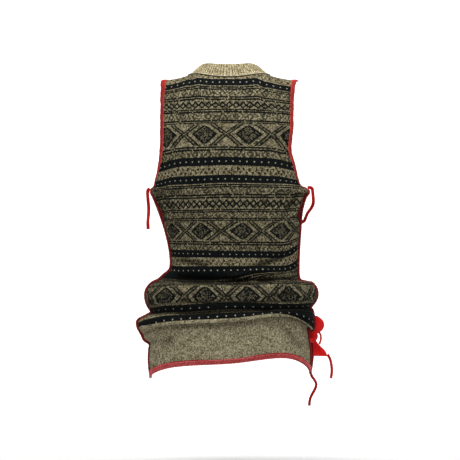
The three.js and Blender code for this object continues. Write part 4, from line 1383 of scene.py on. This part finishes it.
studio = {
    "world": 0.14, "target": (0, 0, -0.32),
    "lamps": {
        "key": {"spot": (-0.5, -1.9, 1.7), "size": 1.2, "power": 38, "colour": (1, 0.985, 0.96)},
        "fill": {"spot": (1.6, -2.4, 0.1), "size": 1.6, "power": 8, "colour": (0.97, 0.985, 1)},
        "top": {"spot": (0.1, -0.55, 1.7), "size": 1.0, "power": 36, "colour": (1, 1, 1)},
    },
    # how far back the ground starts to glow and glows fully, its half width, and its run back and up
    "glow": (0.3, 0.6), "groundHalf": 5,
    "ground": ((-5.0, -0.9), (4.2, -0.9), (4.8, -0.86), (5.2, -0.7), (5.45, -0.4), (5.55, 0), (5.6, 4.5)),
}


def addLight(name, spot, size, power, colour):
    data = bpy.data.lights.new(name, "AREA")
    data.shape = "SQUARE"
    data.size = size
    data.energy = power
    data.color = colour
    lamp = newObject(name, data)
    lamp.location = spot
    lamp.rotation_euler = (Vector(studio["target"]) - Vector(spot)).to_track_quat("-Z", "Y").to_euler()


def addStudio():
    world = bpy.data.worlds.new("studio")
    world.use_nodes = True
    world.node_tree.nodes["Background"].inputs["Color"].default_value = (1, 1, 1, 1)
    world.node_tree.nodes["Background"].inputs["Strength"].default_value = studio["world"]
    bpy.context.scene.world = world
    for name, lamp in studio["lamps"].items():
        addLight(name, **lamp)
    shader = Shader("white ground", 1.0)
    shader.surface.inputs["Base Color"].default_value = (0.8, 0.8, 0.8, 1)
    shader.surface.inputs["Emission Strength"].default_value = 1
    parts = shader.node("ShaderNodeSeparateXYZ", None, {0: shader.objectSpot()}, 1)
    near, far = studio["glow"]
    glow = shader.node("ShaderNodeMapRange", None, {0: parts, 1: near, 2: far})
    shader.tree.links.new(shader.ramp(glow, (0, (0, 0, 0)), (1, (1, 1, 1))).socket,
                          shader.surface.inputs["Emission Color"])
    wide = studio["groundHalf"]
    points = [(x / mm, y / mm, z / mm) for y, z in studio["ground"] for x in (-wide, wide)]
    faces = [(k * 2, k * 2 + 1, k * 2 + 3, k * 2 + 2) for k in range(len(studio["ground"]) - 1)]
    ground = newObject("white_ground", meshFrom("white_ground", points, faces))
    ground.data.materials.append(shader.material)
    bpy.context.scene.view_settings.view_transform = "Standard"


# everything in order

back.middleLength, front.middleLength = lengthDown(back), lengthDown(front)
materials = {
    "fairIsle": fairIsleMaterial(),
    "marl": marlMaterial("marl knit"),
    "ribbedMarl": marlMaterial("marl rib", neckband["stitchesPerRib"], 1.75),
    "thread": threadMaterial(),
    # painted light: the hem's thread is the same red thread made lighter and paler, with no painted shade low
    # down
    "hemThreadPaintedLighter": threadMaterial("red overlock thread on the hem, painted lighter", (1.15, 2.6, 2.9), 1.0),
    "threadCore": threadCoreMaterial(),
    "ribbon": ribbonMaterial(),
    "tie": ribbonMaterial("narrow red ribbon", 0.62),
    "linking": yarnMaterial("linking yarn", (0.50, 0.45, 0.32)),
    # painted shadow: a dark-brown yarn for the shade along the neck seam
    "seamShadowYarn": yarnMaterial("dark yarn for the seam's painted shadow", (0.035, 0.022, 0.012)),
}
trees = {"overlock": overlockTree(), "linking": linkingTree()}
print("materials and node trees made")

for name in ties:
    addTie(name)
print("cords laid")

backPanel = addPanel("back_panel_knit", "back_panel", back, backCreases, *panel["back"])
frontPanel = addPanel("front_panel_knit", "front_panel", front, frontCreases, *panel["front"])
print("panels knitted")

backWelt = addWelt("back_welt_knit", "back_welt", back, backCreases, *panel["backWelt"])
frontWelt = addWelt("front_welt_knit", "front_welt", front, frontCreases, *panel["frontWelt"])
print("welts knitted")

addNeckband()
addLinking()
print("neckband linked on")

for side, word in ((-1, "left"), (1, "right")):
    for half, name in ((back, "back"), (front, "front")):
        frames = edgeFrames(half, side, overlock["step"])
        addEdging(f"{name}_edging_{word}_thread", f"{name}_edging_{word}", frames, "thread",
                  overlock["loopWidth"])
for half, name in ((back, "back"), (front, "front")):
    addEdging(f"{name}_hem_thread", f"{name}_hem_edging", hemFrames(half, overlock["step"]),
              "hemThreadPaintedLighter", overlock["hemLoopWidth"])
print("edges overlocked")

for name in knots:
    addKnot(name)
addBowLoop()
addBowTail()
addStrand()
print("knots and bow tied")

addStudio()
print("studio lit")
